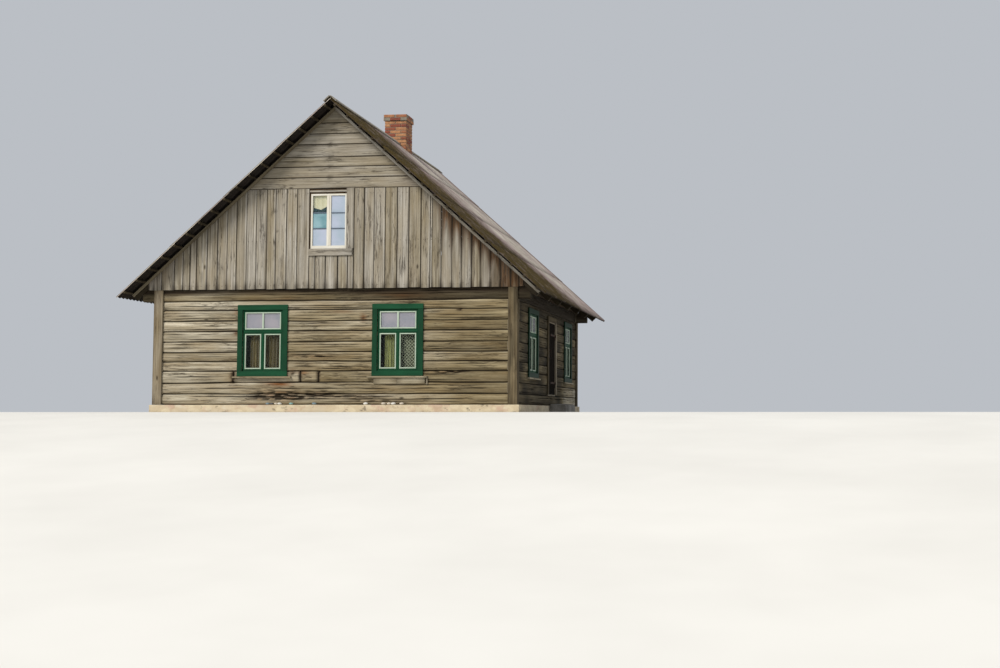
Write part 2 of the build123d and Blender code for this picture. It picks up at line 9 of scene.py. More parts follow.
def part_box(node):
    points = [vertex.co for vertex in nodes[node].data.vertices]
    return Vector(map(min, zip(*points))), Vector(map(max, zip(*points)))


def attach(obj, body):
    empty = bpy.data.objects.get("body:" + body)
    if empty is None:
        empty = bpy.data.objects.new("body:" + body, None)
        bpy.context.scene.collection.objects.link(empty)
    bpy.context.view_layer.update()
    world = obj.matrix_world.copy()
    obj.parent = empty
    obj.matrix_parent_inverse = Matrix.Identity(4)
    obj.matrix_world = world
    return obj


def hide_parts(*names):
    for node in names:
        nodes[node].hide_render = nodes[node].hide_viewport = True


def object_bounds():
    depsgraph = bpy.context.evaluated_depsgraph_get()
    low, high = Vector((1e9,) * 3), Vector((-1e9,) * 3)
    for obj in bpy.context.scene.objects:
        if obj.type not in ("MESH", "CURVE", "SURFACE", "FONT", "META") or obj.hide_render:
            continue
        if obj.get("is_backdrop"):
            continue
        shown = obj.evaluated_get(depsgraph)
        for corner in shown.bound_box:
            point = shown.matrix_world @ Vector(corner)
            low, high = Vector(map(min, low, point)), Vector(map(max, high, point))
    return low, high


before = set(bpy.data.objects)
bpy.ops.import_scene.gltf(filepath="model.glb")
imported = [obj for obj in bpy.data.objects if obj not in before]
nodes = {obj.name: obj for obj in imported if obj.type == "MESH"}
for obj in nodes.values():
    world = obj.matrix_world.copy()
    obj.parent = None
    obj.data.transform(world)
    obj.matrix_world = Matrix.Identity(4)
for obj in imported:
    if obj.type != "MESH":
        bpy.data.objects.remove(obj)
cad_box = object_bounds()

# Lines of the house, in metres
half_width = 3.75
half_length = 3.70
log_depth = 0.18
seams = [0.150, 0.365, 0.590, 0.825, 1.020, 1.215, 1.415, 1.635, 1.840, 2.065, 2.250, 2.505]
wall_top = seams[-1]
foundation_top = seams[0]
plate_height = 0.15
pitch = math.radians(42)
rise = math.tan(pitch)
along = math.cos(pitch)
across = math.sin(pitch)
apex = wall_top + plate_height + half_width * rise
rafter_depth = 0.13
batten_plane = 0.17
covering_plane = 0.225
eaves_reach = (half_width + 0.68 - covering_plane * across) / along
roof_half_length = 4.1
board_layer = rafter_depth - 0.003 * along
gable_bottom = 2.485
gable_back = 0.020
gable_front = 0.045
band_level = 4.520
attic_left = -0.4855
attic_right = 0.2615
attic_low = 3.292
attic_high = 4.411
attic_margin = 0.03
attic_member = 0.036
attic_bar_levels = (3.707, 4.025)
window_low = 0.825
window_high = 2.065
window_half = 0.42
transom = (1.581, 1.671)
window_places = {
    "front": [-1.472, 1.335],
    "back": [-1.472, 1.335],
    "left": [-1.9, 1.9],
    "right": [-1.98, 2.35],
}
chimney_y = 0.6133
up = Vector((0, 0, 1))


class Wall:
    """A wall's outer face: s runs to the right as seen from outside, out points away from the house."""

    def __init__(self, origin, right, out):
        self.origin = Vector(origin)
        self.right = Vector(right)
        self.out = Vector(out)

    def at(self, s, z, out):
        place = self.origin + self.right * s + self.out * out
        return Vector((place.x, place.y, z))

    def span(self, box):
        """A world box as ranges of s, z and out."""
        corners = [Vector(corner) - self.origin for corner in box]
        s = sorted(corner.dot(self.right) for corner in corners)
        out = sorted(corner.dot(self.out) for corner in corners)
        return s, (box[0][2], box[1][2]), out


walls = {
    "front": Wall((0, -half_length, 0), (1, 0, 0), (0, -1, 0)),
    "back": Wall((0, half_length, 0), (-1, 0, 0), (0, 1, 0)),
    "left": Wall((-half_width, 0, 0), (0, -1, 0), (-1, 0, 0)),
    "right": Wall((half_width, 0, 0), (0, 1, 0), (1, 0, 0)),
}


def wall_of(box):
    """The wall that a thin board lies on, found from its middle."""
    middle = [(low + high) / 2 for low, high in zip(*box)]
    reach = {
        "front": -middle[1] - half_length,
        "back": middle[1] - half_length,
        "left": -middle[0] - half_width,
        "right": middle[0] - half_width,
    }
    return walls[max(reach, key=reach.get)]


def solids_of(name):
    """The boxes of a CAD node's separate solids."""
    mesh = bmesh.new()
    mesh.from_mesh(nodes[name].data)
    bmesh.ops.remove_doubles(mesh, verts=mesh.verts, dist=1e-5)
    found = []
    waiting = set(mesh.verts)
    while waiting:
        group = [waiting.pop()]
        for vertex in group:
            for edge in vertex.link_edges:
                other = edge.other_vert(vertex)
                if other in waiting:
                    waiting.remove(other)
                    group.append(other)
        places = [vertex.co for vertex in group]
        low = tuple(min(place[axis] for place in places) for axis in range(3))
        high = tuple(max(place[axis] for place in places) for axis in range(3))
        found.append((low, high))
    mesh.free()
    return sorted(found)


def wave(*place):
    """Smooth noise from -1 to 1."""
    return noise.noise(Vector(place))


def smooth(low, high, value):
    """A soft step from 0 at low to 1 at high, which falls where low is the larger."""
    share = min(1.0, max(0.0, (value - low) / (high - low)))
    return share * share * (3 - 2 * share)


def inset(span, amount):
    """A range made shorter at both ends."""
    return (span[0] + amount, span[1] - amount)


def roof_height(x, layer=0.0):
    return apex + layer / along - abs(x) * rise


def slope_point(side, distance, layer, y):
    """A point of the roof: down from the ridge, and out from the rafters' underside."""
    x = distance * along + layer * across
    return Vector((side * x, y, apex - distance * across + layer * along))


# Shapes


class Shape:
    """Corners and faces of one piece. Each corner keeps grain, tone, dirt and painted shade, and stain."""

    def __init__(self):
        self.places = []
        self.faces = []
        self.grain = []
        self.tone = []
        self.dirt_and_shade = []
        self.stain = []

    def corner(self, place, grain=(0, 0, 0), tone=0.5, dirt_and_shade=0.0, stain=0.0):
        self.places.append(tuple(place))
        self.grain.extend(grain)
        self.tone.append(tone)
        self.dirt_and_shade.append(dirt_and_shade)
        self.stain.append(stain)
        return len(self.places) - 1

    def loft(self, rings):
        """Closed rings of corners joined into a bar with closed ends."""
        count = len(rings[0])
        for first, second in zip(rings, rings[1:]):
            for index in range(count):
                after = (index + 1) % count
                self.faces.append((first[index], first[after], second[after], second[index]))
        self.faces.append(tuple(reversed(rings[0])))
        self.faces.append(tuple(rings[-1]))


def make(name, shape, finish, slot, replaces=(), body="house", crease=38, closed=True):
    """Turn a shape into a piece of the house. A closed one has its faces turned outwards."""
    mesh = bpy.data.meshes.new(name)
    mesh.from_pydata(shape.places, [], shape.faces)
    grain = mesh.attributes.new("grain", "FLOAT_VECTOR", "POINT")
    grain.data.foreach_set("vector", shape.grain)
    for label in ("tone", "dirt_and_shade", "stain"):
        values = mesh.attributes.new(label, "FLOAT", "POINT")
        values.data.foreach_set("value", getattr(shape, label))
    if closed:
        face_outwards(mesh)
    return piece_from(name, mesh, finish, slot, replaces, body, crease)


def face_outwards(mesh):
    solid = bmesh.new()
    solid.from_mesh(mesh)
    bmesh.ops.recalc_face_normals(solid, faces=solid.faces)
    solid.to_mesh(mesh)
    solid.free()


def piece_from(name, mesh, finish, slot, replaces=(), body="house", crease=38):
    """Place a finished mesh on its body, with its finish. Its slot is not used."""
    mesh.name = name
    mesh.polygons.foreach_set("use_smooth", [True] * len(mesh.polygons))
    mesh.set_sharp_from_angle(angle=math.radians(crease))
    mesh.materials.clear()
    mesh.materials.append(finish)
    piece = bpy.data.objects.new(name, mesh)
    bpy.context.scene.collection.objects.link(piece)
    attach(piece, body)
    if replaces:
        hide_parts(*replaces)
    return piece


def plank(
    shape, frame_of, start, end, width, thickness, seed, tone=None, mark=None, gap=0.0, edge=0.004,
    edge_dirt=0.35, end_dirt=0.25, wander=0.002, relief=0.0015, columns=2, step=0.16,
):
    """A sawn board. frame_of is its corner, and its directions along (u), across (v) and outwards (w).

    start and end are places along the board, or functions of the place across it. gap is left open
    at each side, edge is the width of the worn arris, wander and relief are how far the edges and
    the face leave their lines. mark sets tone, dirt and painted shade, and stain at a place on the board.
    """
    corner, lengthwise, crosswise, outwards = frame_of
    edge = min(edge, thickness * 0.4, width * 0.3)
    if tone is None:
        tone = random.Random(seed).uniform(0.35, 0.65)
    begin = start if callable(start) else lambda v: start
    finish = end if callable(end) else lambda v: end
    middle = width / 2
    count = max(2, round((finish(middle) - begin(middle)) / step) + 1)
    border = gap + edge + min(0.010, width * 0.1)
    inner = width - 2 * border
    section = [(gap, thickness - edge), (gap + edge, thickness)]
    section += [(border + inner * index / columns, thickness) for index in range(columns + 1)]
    section += [(width - gap - edge, thickness), (width - gap, thickness - edge)]
    section += [(width - gap, 0.0), (gap, 0.0)]
    last_front = len(section) - 3
    edges = (0, 1, last_front - 1, last_front)
    rings = []
    for number in range(count):
        share = number / (count - 1)
        ring = []
        for index, (v, w) in enumerate(section):
            u = begin(v) + (finish(v) - begin(v)) * share
            side = -1 if v < middle else 1
            v_moved = v - side * wander * (0.5 + 0.5 * wave(u * 1.7, seed * 3.7, side * 5))
            w_moved = w
            if 0 < index < last_front:
                w_moved -= relief * (0.5 + 0.5 * wave(u * 2.3, v * 14, seed * 1.3))
            place = corner + lengthwise * u + crosswise * v_moved + outwards * w_moved
            here = tone
            dirt_and_shade = edge_dirt if index in edges else 0.0
            stain = 0.0
            if number in (0, count - 1):
                dirt_and_shade = max(dirt_and_shade, end_dirt)
            if mark:
                here, dirt_and_shade, stain = mark(u, v, here, dirt_and_shade)
            grain = (u + seed * 7.31, v + seed * 1.77, w_moved + seed * 0.913)
            ring.append(shape.corner(place, grain, here, dirt_and_shade, stain))
        rings.append(ring)
    shape.loft(rings)


def board_on(shape, wall, s, z, out, seed, upright=None, **wear):
    """A board on a wall, between two places along it, two levels and two distances outwards."""
    wide, high, thick = s[1] - s[0], z[1] - z[0], out[1] - out[0]
    corner = wall.at(s[0], z[0], out[0])
    if upright is None:
        upright = high > wide
    if upright:
        plank(shape, (corner, up, wall.right, wall.out), 0.0, high, wide, thick, seed, **wear)
    else:
        plank(shape, (corner, wall.right, up, wall.out), 0.0, wide, high, thick, seed, **wear)


# Finishes


def paint(red, green, blue):
    """A colour as seen on a screen, from 0 to 255, as the shader takes it."""
    mixed = []
    for value in (red, green, blue):
        share = value / 255
        mixed.append(share / 12.92 if share <= 0.04045 else ((share + 0.055) / 1.055) ** 2.4)
    return (*mixed, 1.0)


def in_use(sockets):
    """The sockets that a node's settings leave in use."""
    return [socket for socket in sockets if socket.enabled]


class Finish:
    """A material in the making, with short ways to add and join its nodes."""

    def __init__(self, name, roughness=0.85, **fixed):
        self.material = bpy.data.materials.new(name)
        self.material.use_nodes = True
        self.tree = self.material.node_tree
        self.tree.nodes.clear()
        output = self.tree.nodes.new("ShaderNodeOutputMaterial")
        self.shader = self.tree.nodes.new("ShaderNodeBsdfPrincipled")
        self.tree.links.new(self.shader.outputs[0], output.inputs[0])
        self.shader.inputs["Roughness"].default_value = roughness
        for socket, value in fixed.items():
            self.shader.inputs[socket.replace("_", " ")].default_value = value

    def node(self, kind, *values, **settings):
        """A node with its settings, and its inputs in order: a socket is linked, a value is set."""
        made = self.tree.nodes.new(kind)
        for setting, value in settings.items():
            setattr(made, setting, value)
        for socket, value in zip(in_use(made.inputs), values):
            if value is not None:
                self.put(socket, value)
        return made

    def attribute(self, label, output="Fac"):
        return self.node("ShaderNodeAttribute", attribute_name=label).outputs[output]

    def place(self):
        return self.node("ShaderNodeTexCoord").outputs["Object"]

    def scaled(self, vector, scale, turn=(0, 0, 0)):
        return self.node("ShaderNodeMapping", vector, (0, 0, 0), turn, scale).outputs[0]

    def noise(self, vector, scale, detail=4.0, rough=0.6):
        """A noise's value. scale is one number, or one for each direction."""
        if isinstance(scale, float):
            scale = (scale, scale, scale)
        made = self.node("ShaderNodeTexNoise")
        self.tree.links.new(self.scaled(vector, scale), made.inputs["Vector"])
        made.inputs["Scale"].default_value = 1.0
        made.inputs["Detail"].default_value = detail
        made.inputs["Roughness"].default_value = rough
        return made.outputs["Fac"]

    def math(self, operation, first, second=None, third=None, clamp=False):
        made = self.node("ShaderNodeMath", first, second, third, operation=operation, use_clamp=clamp)
        return made.outputs[0]

    def between(self, value, low, high, to_low=0.0, to_high=1.0):
        return self.node("ShaderNodeMapRange", value, low, high, to_low, to_high).outputs[0]

    def mixed(self, share, first, second, blend="MIX"):
        made = self.node("ShaderNodeMix", data_type="RGBA", blend_type=blend)
        colours = [socket for socket in made.inputs if socket.type == "RGBA"]
        self.put(made.inputs[0], share)
        self.put(colours[0], first)
        self.put(colours[1], second)
        return [socket for socket in made.outputs if socket.type == "RGBA"][0]

    def put(self, socket, value):
        if isinstance(value, bpy.types.NodeSocket):
            self.tree.links.new(value, socket)
        else:
            socket.default_value = value

    def scale_colour(self, colour, share):
        made = self.node("ShaderNodeVectorMath", operation="SCALE")
        self.put(made.inputs[0], colour)
        self.put(made.inputs["Scale"], share)
        return made.outputs[0]

    def lines(self, value, width):
        """Thin lines where a noise crosses its middle value."""
        return self.between(self.math("ABSOLUTE", self.math("SUBTRACT", value, 0.5)), width, 0.0)

    def done(self, colour, height=None, depth=0.003, strength=0.7):
        self.put(self.shader.inputs["Base Color"], colour)
        if height is not None:
            bump = self.node("ShaderNodeBump")
            bump.inputs["Strength"].default_value = strength
            bump.inputs["Distance"].default_value = depth
            self.put(bump.inputs["Height"], height)
            self.put(self.shader.inputs["Normal"], bump.outputs[0])
        return self.material


def weathered_wood(name, shades, turn=None, streak=24.0, depth=0.004, gloss=0.2):
    """Old wood with grain, cracks, knots, and grime with painted shade. Without a turn, the grain follows
    the piece's boards.

    The shades are the pale, the dull, the deep, the warm and the stained one.
    """
    pale, dull, deep, warm, stain = shades
    finish = Finish(name, roughness=0.9, Specular_IOR_Level=gloss)
    if turn is None:
        place = finish.attribute("grain", "Vector")
        tone = finish.attribute("tone")
        dirt_and_shade = finish.attribute("dirt_and_shade")
        stained = finish.attribute("stain")
    else:
        place = finish.scaled(finish.place(), (1, 1, 1), turn)
        cells = finish.noise(place, (0.4, 5.0, 5.0), detail=1.0)
        tone = finish.between(cells, 0.3, 0.7, 0.3, 0.7)
        dirt_and_shade = None
        stained = None
    streaks = finish.noise(place, (0.7, streak, streak), 7.0, 0.66)
    threads = finish.noise(place, (2.0, streak * 2.6, streak * 2.6), 5.0, 0.68)
    patches = finish.noise(place, (0.9, 3.1, 3.1), 3.0, 0.55)
    blotches = finish.noise(place, (4.0, 9.0, 9.0), 4.0, 0.62)
    fibres = finish.noise(place, (10.0, 190.0, 190.0), 3.0, 0.7)
    cracks = finish.lines(finish.noise(place, (0.7, 13.0, 13.0), 5.0, 0.62), 0.022)
    present = finish.between(finish.noise(place, (1.1, 4.0, 4.0), 2.0), 0.46, 0.58)
    cracks = finish.math("MULTIPLY", cracks, present)
    cells = finish.node("ShaderNodeTexVoronoi")
    finish.put(cells.inputs["Vector"], finish.scaled(place, (1.9, 4.2, 4.2)))
    cells.inputs["Scale"].default_value = 1.0
    rare = finish.between(cells.outputs["Color"], 0.55, 0.57)
    knot = finish.between(cells.outputs["Distance"], 0.13, 0.05)
    knot = finish.math("MULTIPLY", knot, rare)
    colour = finish.mixed(finish.between(streaks, 0.36, 0.66), dull, pale)
    colour = finish.mixed(finish.between(patches, 0.42, 0.75, 0.0, 0.75), colour, warm)
    colour = finish.mixed(finish.between(fibres, 0.35, 0.65, 0.0, 0.22), colour, dull, "MULTIPLY")
    if stained is not None:
        edge = finish.between(streaks, 0.32, 0.68, 0.45, 1.35)
        tint = finish.mixed(finish.between(threads, 0.38, 0.58), deep, stain)
        colour = finish.mixed(finish.math("MULTIPLY", stained, edge, clamp=True), colour, tint)
    browner = finish.mixed(finish.between(tone, 0.15, 0.50), (1.0, 0.91, 0.70, 1.0), (1.0, 1.0, 1.0, 1.0))
    colour = finish.mixed(1.0, colour, browner, "MULTIPLY")
    colour = finish.scale_colour(colour, finish.between(tone, -0.5, 1.0, 0.10, 1.45))
    dark = finish.math("MAXIMUM", finish.math("MULTIPLY", cracks, 0.9), finish.math("MULTIPLY", knot, 0.8))
    dark = finish.math("MAXIMUM", dark, finish.between(threads, 0.44, 0.28, 0.0, 0.62))
    dark = finish.math("MAXIMUM", dark, finish.between(blotches, 0.62, 0.80, 0.0, 0.35))
    # Dirt and painted shade from the pieces darken the wood here.
    if dirt_and_shade is not None:
        dirt_and_shade_darkening = finish.math("MULTIPLY", dirt_and_shade, finish.between(streaks, 0.3, 0.7, 1.15, 0.85), clamp=True)
        dark = finish.math("MAXIMUM", dark, dirt_and_shade_darkening)
    colour = finish.mixed(dark, colour, deep)
    height = finish.math("MULTIPLY_ADD", fibres, 0.3, streaks)
    height = finish.math("MULTIPLY_ADD", threads, 0.5, height)
    height = finish.math("MULTIPLY_ADD", cracks, -1.2, height)
    return finish.done(colour, height, depth)


def flaking_paint(name, colour, worn, wood, wear=0.68):
    """Brushed paint on wood, thin on the edges."""
    finish = Finish(name, roughness=0.6, Specular_IOR_Level=0.14)
    place = finish.attribute("grain", "Vector")
    dirt_and_shade = finish.attribute("dirt_and_shade")
    tone = finish.attribute("tone")
    brush = finish.noise(place, (2.0, 60.0, 60.0), 4.0, 0.6)
    cloud = finish.noise(place, (1.5, 3.0, 3.0), 4.0, 0.6)
    flakes = finish.noise(place, (9.0, 30.0, 30.0), 5.0, 0.7)
    base = finish.mixed(finish.between(cloud, 0.35, 0.7), colour, worn)
    base = finish.mixed(finish.between(brush, 0.35, 0.65, 0.0, 0.55), base, worn)
    bare = finish.between(finish.math("MULTIPLY_ADD", dirt_and_shade, 0.12, flakes), wear, wear + 0.05)
    base = finish.mixed(bare, base, wood)
    base = finish.scale_colour(base, finish.between(tone, 0.0, 0.5, 0.45, 1.0))
    height = finish.math("MULTIPLY_ADD", bare, -0.8, brush)
    return finish.done(base, height, 0.0015, 0.5)


def roof_cement():
    """Old corrugated cement sheet: pale grey with a purple cast, brown with moss where the stain says,
    near black where dirt and painted shade say.
    """
    finish = Finish("corrugated_cement", roughness=0.93, Specular_IOR_Level=0.2)
    place = finish.place()
    grain = finish.attribute("grain", "Vector")
    tone = finish.attribute("tone")
    dirt_and_shade = finish.attribute("dirt_and_shade")
    stained = finish.attribute("stain")
    cloud = finish.noise(place, 1.6, 6.0, 0.65)
    runs = finish.noise(grain, (0.9, 14.0, 14.0), 5.0, 0.6)
    grit = finish.noise(place, 55.0, 4.0, 0.7)
    colour = finish.mixed(finish.between(runs, 0.35, 0.68), paint(150, 142, 132), paint(206, 199, 184))
    colour = finish.mixed(finish.between(cloud, 0.45, 0.72, 0.0, 0.6), colour, paint(166, 154, 140))
    lichen = finish.between(finish.noise(place, 9.0, 5.0, 0.7), 0.62, 0.67)
    colour = finish.mixed(finish.math("MULTIPLY", lichen, 0.6), colour, paint(192, 190, 178))
    fringe = finish.between(finish.math("MULTIPLY_ADD", stained, 0.5, cloud), 0.42, 0.66, 0.0, 0.75)
    colour = finish.mixed(fringe, colour, paint(146, 126, 128))
    moss_noise = finish.noise(place, 3.0, 8.0, 0.72)
    moss = finish.between(finish.math("MULTIPLY_ADD", stained, 0.42, moss_noise), 0.52, 0.90)
    moss_colour = finish.mixed(finish.between(grit, 0.4, 0.6), paint(46, 37, 13), paint(80, 66, 30))
    colour = finish.mixed(moss, colour, moss_colour)
    colour = finish.scale_colour(colour, finish.between(tone, 0.0, 1.0, 0.7, 1.3))
    # Dirt and painted shade: the undersides of the sheets go almost black.
    colour = finish.mixed(dirt_and_shade, colour, paint(20, 16, 10))
    height = finish.math("MULTIPLY_ADD", moss, 1.6, grit)
    return finish.done(colour, height, 0.004)


def lime_render():
    """Old lime render over field stones, which show through as patches of their own colour."""
    finish = Finish("lime_render", roughness=0.95)
    place = finish.place()
    dirt_and_shade = finish.attribute("dirt_and_shade")
    cloud = finish.noise(place, 2.2, 6.0, 0.65)
    grit = finish.noise(place, 40.0, 5.0, 0.7)
    stones = finish.node("ShaderNodeTexVoronoi", feature="SMOOTH_F1")
    finish.put(stones.inputs["Vector"], finish.scaled(place, (5.0, 5.0, 8.0)))
    stones.inputs["Scale"].default_value = 1.0
    stones.inputs["Smoothness"].default_value = 0.3
    own = finish.between(stones.outputs["Color"], 0.35, 0.65)
    stone = finish.mixed(own, paint(180, 154, 134), paint(196, 186, 164))
    colour = finish.mixed(finish.between(cloud, 0.35, 0.68), paint(198, 185, 156), paint(180, 162, 136))
    colour = finish.mixed(finish.between(grit, 0.38, 0.62, 0.0, 0.5), colour, paint(204, 192, 166))
    colour = finish.mixed(finish.between(cloud, 0.50, 0.60, 0.0, 0.85), colour, stone)
    joints = finish.between(stones.outputs["Distance"], 0.42, 0.62, 0.0, 0.4)
    colour = finish.mixed(joints, colour, paint(168, 150, 122))
    holes = finish.between(finish.noise(place, (6.0, 6.0, 9.0), 4.0, 0.7), 0.60, 0.68)
    colour = finish.mixed(finish.math("MULTIPLY", holes, 0.7), colour, paint(104, 94, 78))
    colour = finish.mixed(dirt_and_shade, colour, paint(90, 80, 56))
    height = finish.math("MULTIPLY_ADD", holes, -1.5, grit)
    return finish.done(colour, height, 0.006)


def rough_stone(name, pale, dark):
    finish = Finish(name, roughness=0.9)
    place = finish.place()
    tone = finish.attribute("tone")
    cloud = finish.noise(place, 4.0, 6.0, 0.6)
    grit = finish.noise(place, 70.0, 5.0, 0.7)
    colour = finish.mixed(finish.between(cloud, 0.35, 0.68), pale, dark)
    colour = finish.mixed(finish.between(grit, 0.4, 0.6, 0.0, 0.5), colour, dark)
    colour = finish.scale_colour(colour, finish.between(tone, 0.0, 1.0, 0.5, 1.5))
    return finish.done(colour, grit, 0.004)


def pebble_stone():
    """Small stones, each of its own colour: white, blue grey, teal or dark."""
    finish = Finish("ledge_pebbles", roughness=0.7)
    tone = finish.attribute("tone")
    grit = finish.noise(finish.place(), 90.0, 4.0, 0.6)
    ramp = finish.node("ShaderNodeValToRGB", tone)
    ramp.color_ramp.interpolation = "CONSTANT"
    shades = [(0.0, paint(60, 62, 66)), (0.2, paint(98, 120, 130)), (0.4, paint(214, 212, 204))]
    shades += [(0.66, paint(120, 160, 158)), (0.8, paint(196, 186, 170))]
    for index, (place, shade) in enumerate(shades):
        stop = ramp.color_ramp.elements[0] if index == 0 else ramp.color_ramp.elements.new(place)
        stop.position = place
        stop.color = shade
    ramp.color_ramp.elements.remove(ramp.color_ramp.elements[-1])
    colour = finish.mixed(finish.between(grit, 0.3, 0.7, 0.0, 0.3), ramp.outputs[0], paint(120, 112, 100))
    return finish.done(colour, grit, 0.002)


def old_brick():
    """Hand-made bricks, from yellow to deep red."""
    finish = Finish("chimney_brick", roughness=0.92)
    place = finish.place()
    tone = finish.attribute("tone")
    cloud = finish.noise(place, 14.0, 5.0, 0.65)
    grit = finish.noise(place, 90.0, 4.0, 0.7)
    colour = finish.mixed(finish.between(tone, 0.2, 0.8), paint(128, 66, 48), paint(176, 128, 88))
    colour = finish.mixed(finish.between(cloud, 0.4, 0.7, 0.0, 0.6), colour, paint(108, 56, 40))
    soot = finish.between(finish.noise(place, 3.0, 4.0, 0.6), 0.55, 0.75, 0.0, 0.6)
    colour = finish.mixed(soot, colour, paint(64, 54, 46))
    return finish.done(colour, finish.math("MULTIPLY_ADD", cloud, 0.6, grit), 0.003)


def lime_mortar():
    finish = Finish("chimney_mortar", roughness=0.96)
    place = finish.place()
    cloud = finish.noise(place, 5.0, 5.0, 0.65)
    grit = finish.noise(place, 80.0, 4.0, 0.7)
    colour = finish.mixed(finish.between(cloud, 0.35, 0.7), paint(140, 130, 114), paint(104, 96, 84))
    colour = finish.mixed(finish.between(grit, 0.4, 0.6, 0.0, 0.4), colour, paint(96, 88, 78))
    return finish.done(colour, grit, 0.003)


def rusty_iron():
    finish = Finish("rusty_iron", roughness=0.78, Metallic=0.3, Specular_IOR_Level=0.2)
    place = finish.place()
    cloud = finish.noise(place, 22.0, 5.0, 0.65)
    grit = finish.noise(place, 160.0, 4.0, 0.7)
    rust = finish.between(cloud, 0.42, 0.6)
    colour = finish.mixed(rust, paint(34, 32, 31), paint(74, 46, 30))
    return finish.done(colour, finish.math("MULTIPLY_ADD", rust, 0.6, grit), 0.001)


def window_glass(name, colour, mottled, alpha):
    """Old drawn glass with slow waves in it, and a painted sky reflection in the top lights."""
    finish = Finish(name, roughness=0.06, IOR=1.5)
    place = finish.place()
    level = finish.node("ShaderNodeSeparateXYZ", place).outputs[2]
    top_light = finish.between(level, 1.58, 1.60)
    cloud = finish.noise(place, (3.0, 3.0, 3.6), 3.0, 0.5)
    base = finish.mixed(finish.between(cloud, 0.38, 0.64), colour, mottled)
    # Painted reflection: the top lights take a pale sky colour and are less clear.
    sky = finish.mixed(finish.between(cloud, 0.38, 0.64), paint(150, 152, 162), paint(168, 164, 172))
    base = finish.mixed(top_light, base, sky)
    finish.put(finish.shader.inputs["Alpha"], finish.between(top_light, 0.0, 1.0, alpha, 0.55))
    ripple = finish.noise(place, (9.0, 9.0, 5.0), 2.0, 0.4)
    return finish.done(base, ripple, 0.004, 0.25)


def attic_glass():
    """Attic panes with a painted sky reflection, nearly opaque. On the left the middle one has a painted
    teal reflection and the one above it is clear.
    """
    finish = Finish("attic_window_glass", roughness=0.08, Specular_IOR_Level=0.3)
    place = finish.place()
    x, y, z = finish.node("ShaderNodeSeparateXYZ", place).outputs
    side = finish.math("MULTIPLY", finish.math("SIGN", y), -1.0)
    left = finish.math("LESS_THAN", finish.math("MULTIPLY", x, side), (attic_left + attic_right) / 2)
    upper, top = [
        finish.math("MULTIPLY", left, finish.math("GREATER_THAN", z, level)) for level in attic_bar_levels
    ]
    cloud = finish.noise(place, (3.0, 3.0, 3.6), 3.0, 0.5)
    # Painted reflection: pale sky colours, and teal in the left middle pane.
    colour = finish.mixed(finish.between(cloud, 0.38, 0.64), paint(172, 180, 198), paint(158, 172, 186))
    teal = finish.mixed(finish.between(cloud, 0.40, 0.60), paint(104, 142, 150), paint(136, 168, 176))
    colour = finish.mixed(upper, colour, teal)
    finish.put(finish.shader.inputs["Alpha"], finish.between(top, 0.0, 1.0, 0.92, 0.08))
    ripple = finish.noise(place, (9.0, 9.0, 5.0), 2.0, 0.4)
    return finish.done(colour, ripple, 0.004, 0.25)


def curtain_cloth(name, colour, shade):
    """Woven cloth: threads both ways, and painted light and shade in upright bands, as where it folds."""
    finish = Finish(name, roughness=0.95)
    finish.shader.inputs["Sheen Weight"].default_value = 0.3
    place = finish.attribute("grain", "Vector")
    threads = finish.noise(place, (260.0, 260.0, 1.0), 2.0, 0.5)
    # Painted light and shade: upright bands of the two colours, as of folds.
    bands = finish.noise(place, (16.0, 0.6, 1.0), 3.0, 0.6)
    base = finish.mixed(finish.between(bands, 0.35, 0.65), colour, shade)
    base = finish.mixed(finish.between(threads, 0.35, 0.65, 0.0, 0.3), base, shade)
    return finish.done(base, threads, 0.001)


def diamond_lace():
    """Net with a raised diamond pattern, painted dark between the threads as the shade of the room behind.
    """
    finish = Finish("diamond_lace", roughness=0.95)
    place = finish.attribute("grain", "Vector")
    split = finish.node("ShaderNodeSeparateXYZ", place)
    bands = []
    for slant in ("ADD", "SUBTRACT"):
        direction = finish.math(slant, split.outputs[0], split.outputs[1])
        cell = finish.math("FRACT", finish.math("MULTIPLY", direction, 14.5))
        off_middle = finish.math("ABSOLUTE", finish.math("SUBTRACT", cell, 0.5))
        bands.append(finish.between(off_middle, 0.34, 0.46))
    thread = finish.math("MAXIMUM", bands[0], bands[1])
    mesh_noise = finish.noise(place, (240.0, 240.0, 1.0), 2.0, 0.6)
    # Painted shade: between the threads the net is dark, as the room behind it.
    base = finish.mixed(thread, paint(84, 90, 70), paint(146, 154, 130))
    finish.put(finish.shader.inputs["Alpha"], finish.between(thread, 0.0, 1.0, 0.62, 0.95))
    return finish.done(base, mesh_noise, 0.001)


def palette(*shades):
    """Several colours as seen on a screen."""
    return [paint(*shade) for shade in shades]


timber_along_y = (0, 0, math.radians(90))
timber_along_z = (0, math.radians(90), 0)

log_shades = palette((192, 184, 165), (122, 113, 93), (38, 29, 18), (144, 127, 98), (136, 92, 56))
board_shades = palette((181, 176, 166), (122, 116, 105), (42, 34, 25), (150, 140, 122), (112, 80, 50))
trim_shades = palette((164, 155, 138), (116, 106, 90), (50, 41, 30), (128, 114, 94), (110, 70, 40))
patch_shades = palette((176, 168, 148), (134, 125, 104), (50, 40, 28), (148, 134, 108), (130, 90, 54))
door_shades = palette((28, 20, 12), (16, 12, 7), (7, 5, 4), (22, 16, 9), (34, 22, 12))
floor_shades = palette((150, 120, 84), (104, 78, 50), (36, 26, 18), (126, 94, 60), (90, 60, 36))
# Painted shade: sawn timber and battens are darker than the wood is, so the soffit and the gaps by the
# attic windows read as shade.
timber_colours_with_painted_shade = palette((88, 72, 52), (58, 46, 32), (22, 17, 12), (70, 55, 38), (56, 40, 26))
batten_colours_with_painted_shade = palette((66, 58, 42), (40, 34, 24), (16, 12, 8), (50, 41, 28), (40, 29, 18))

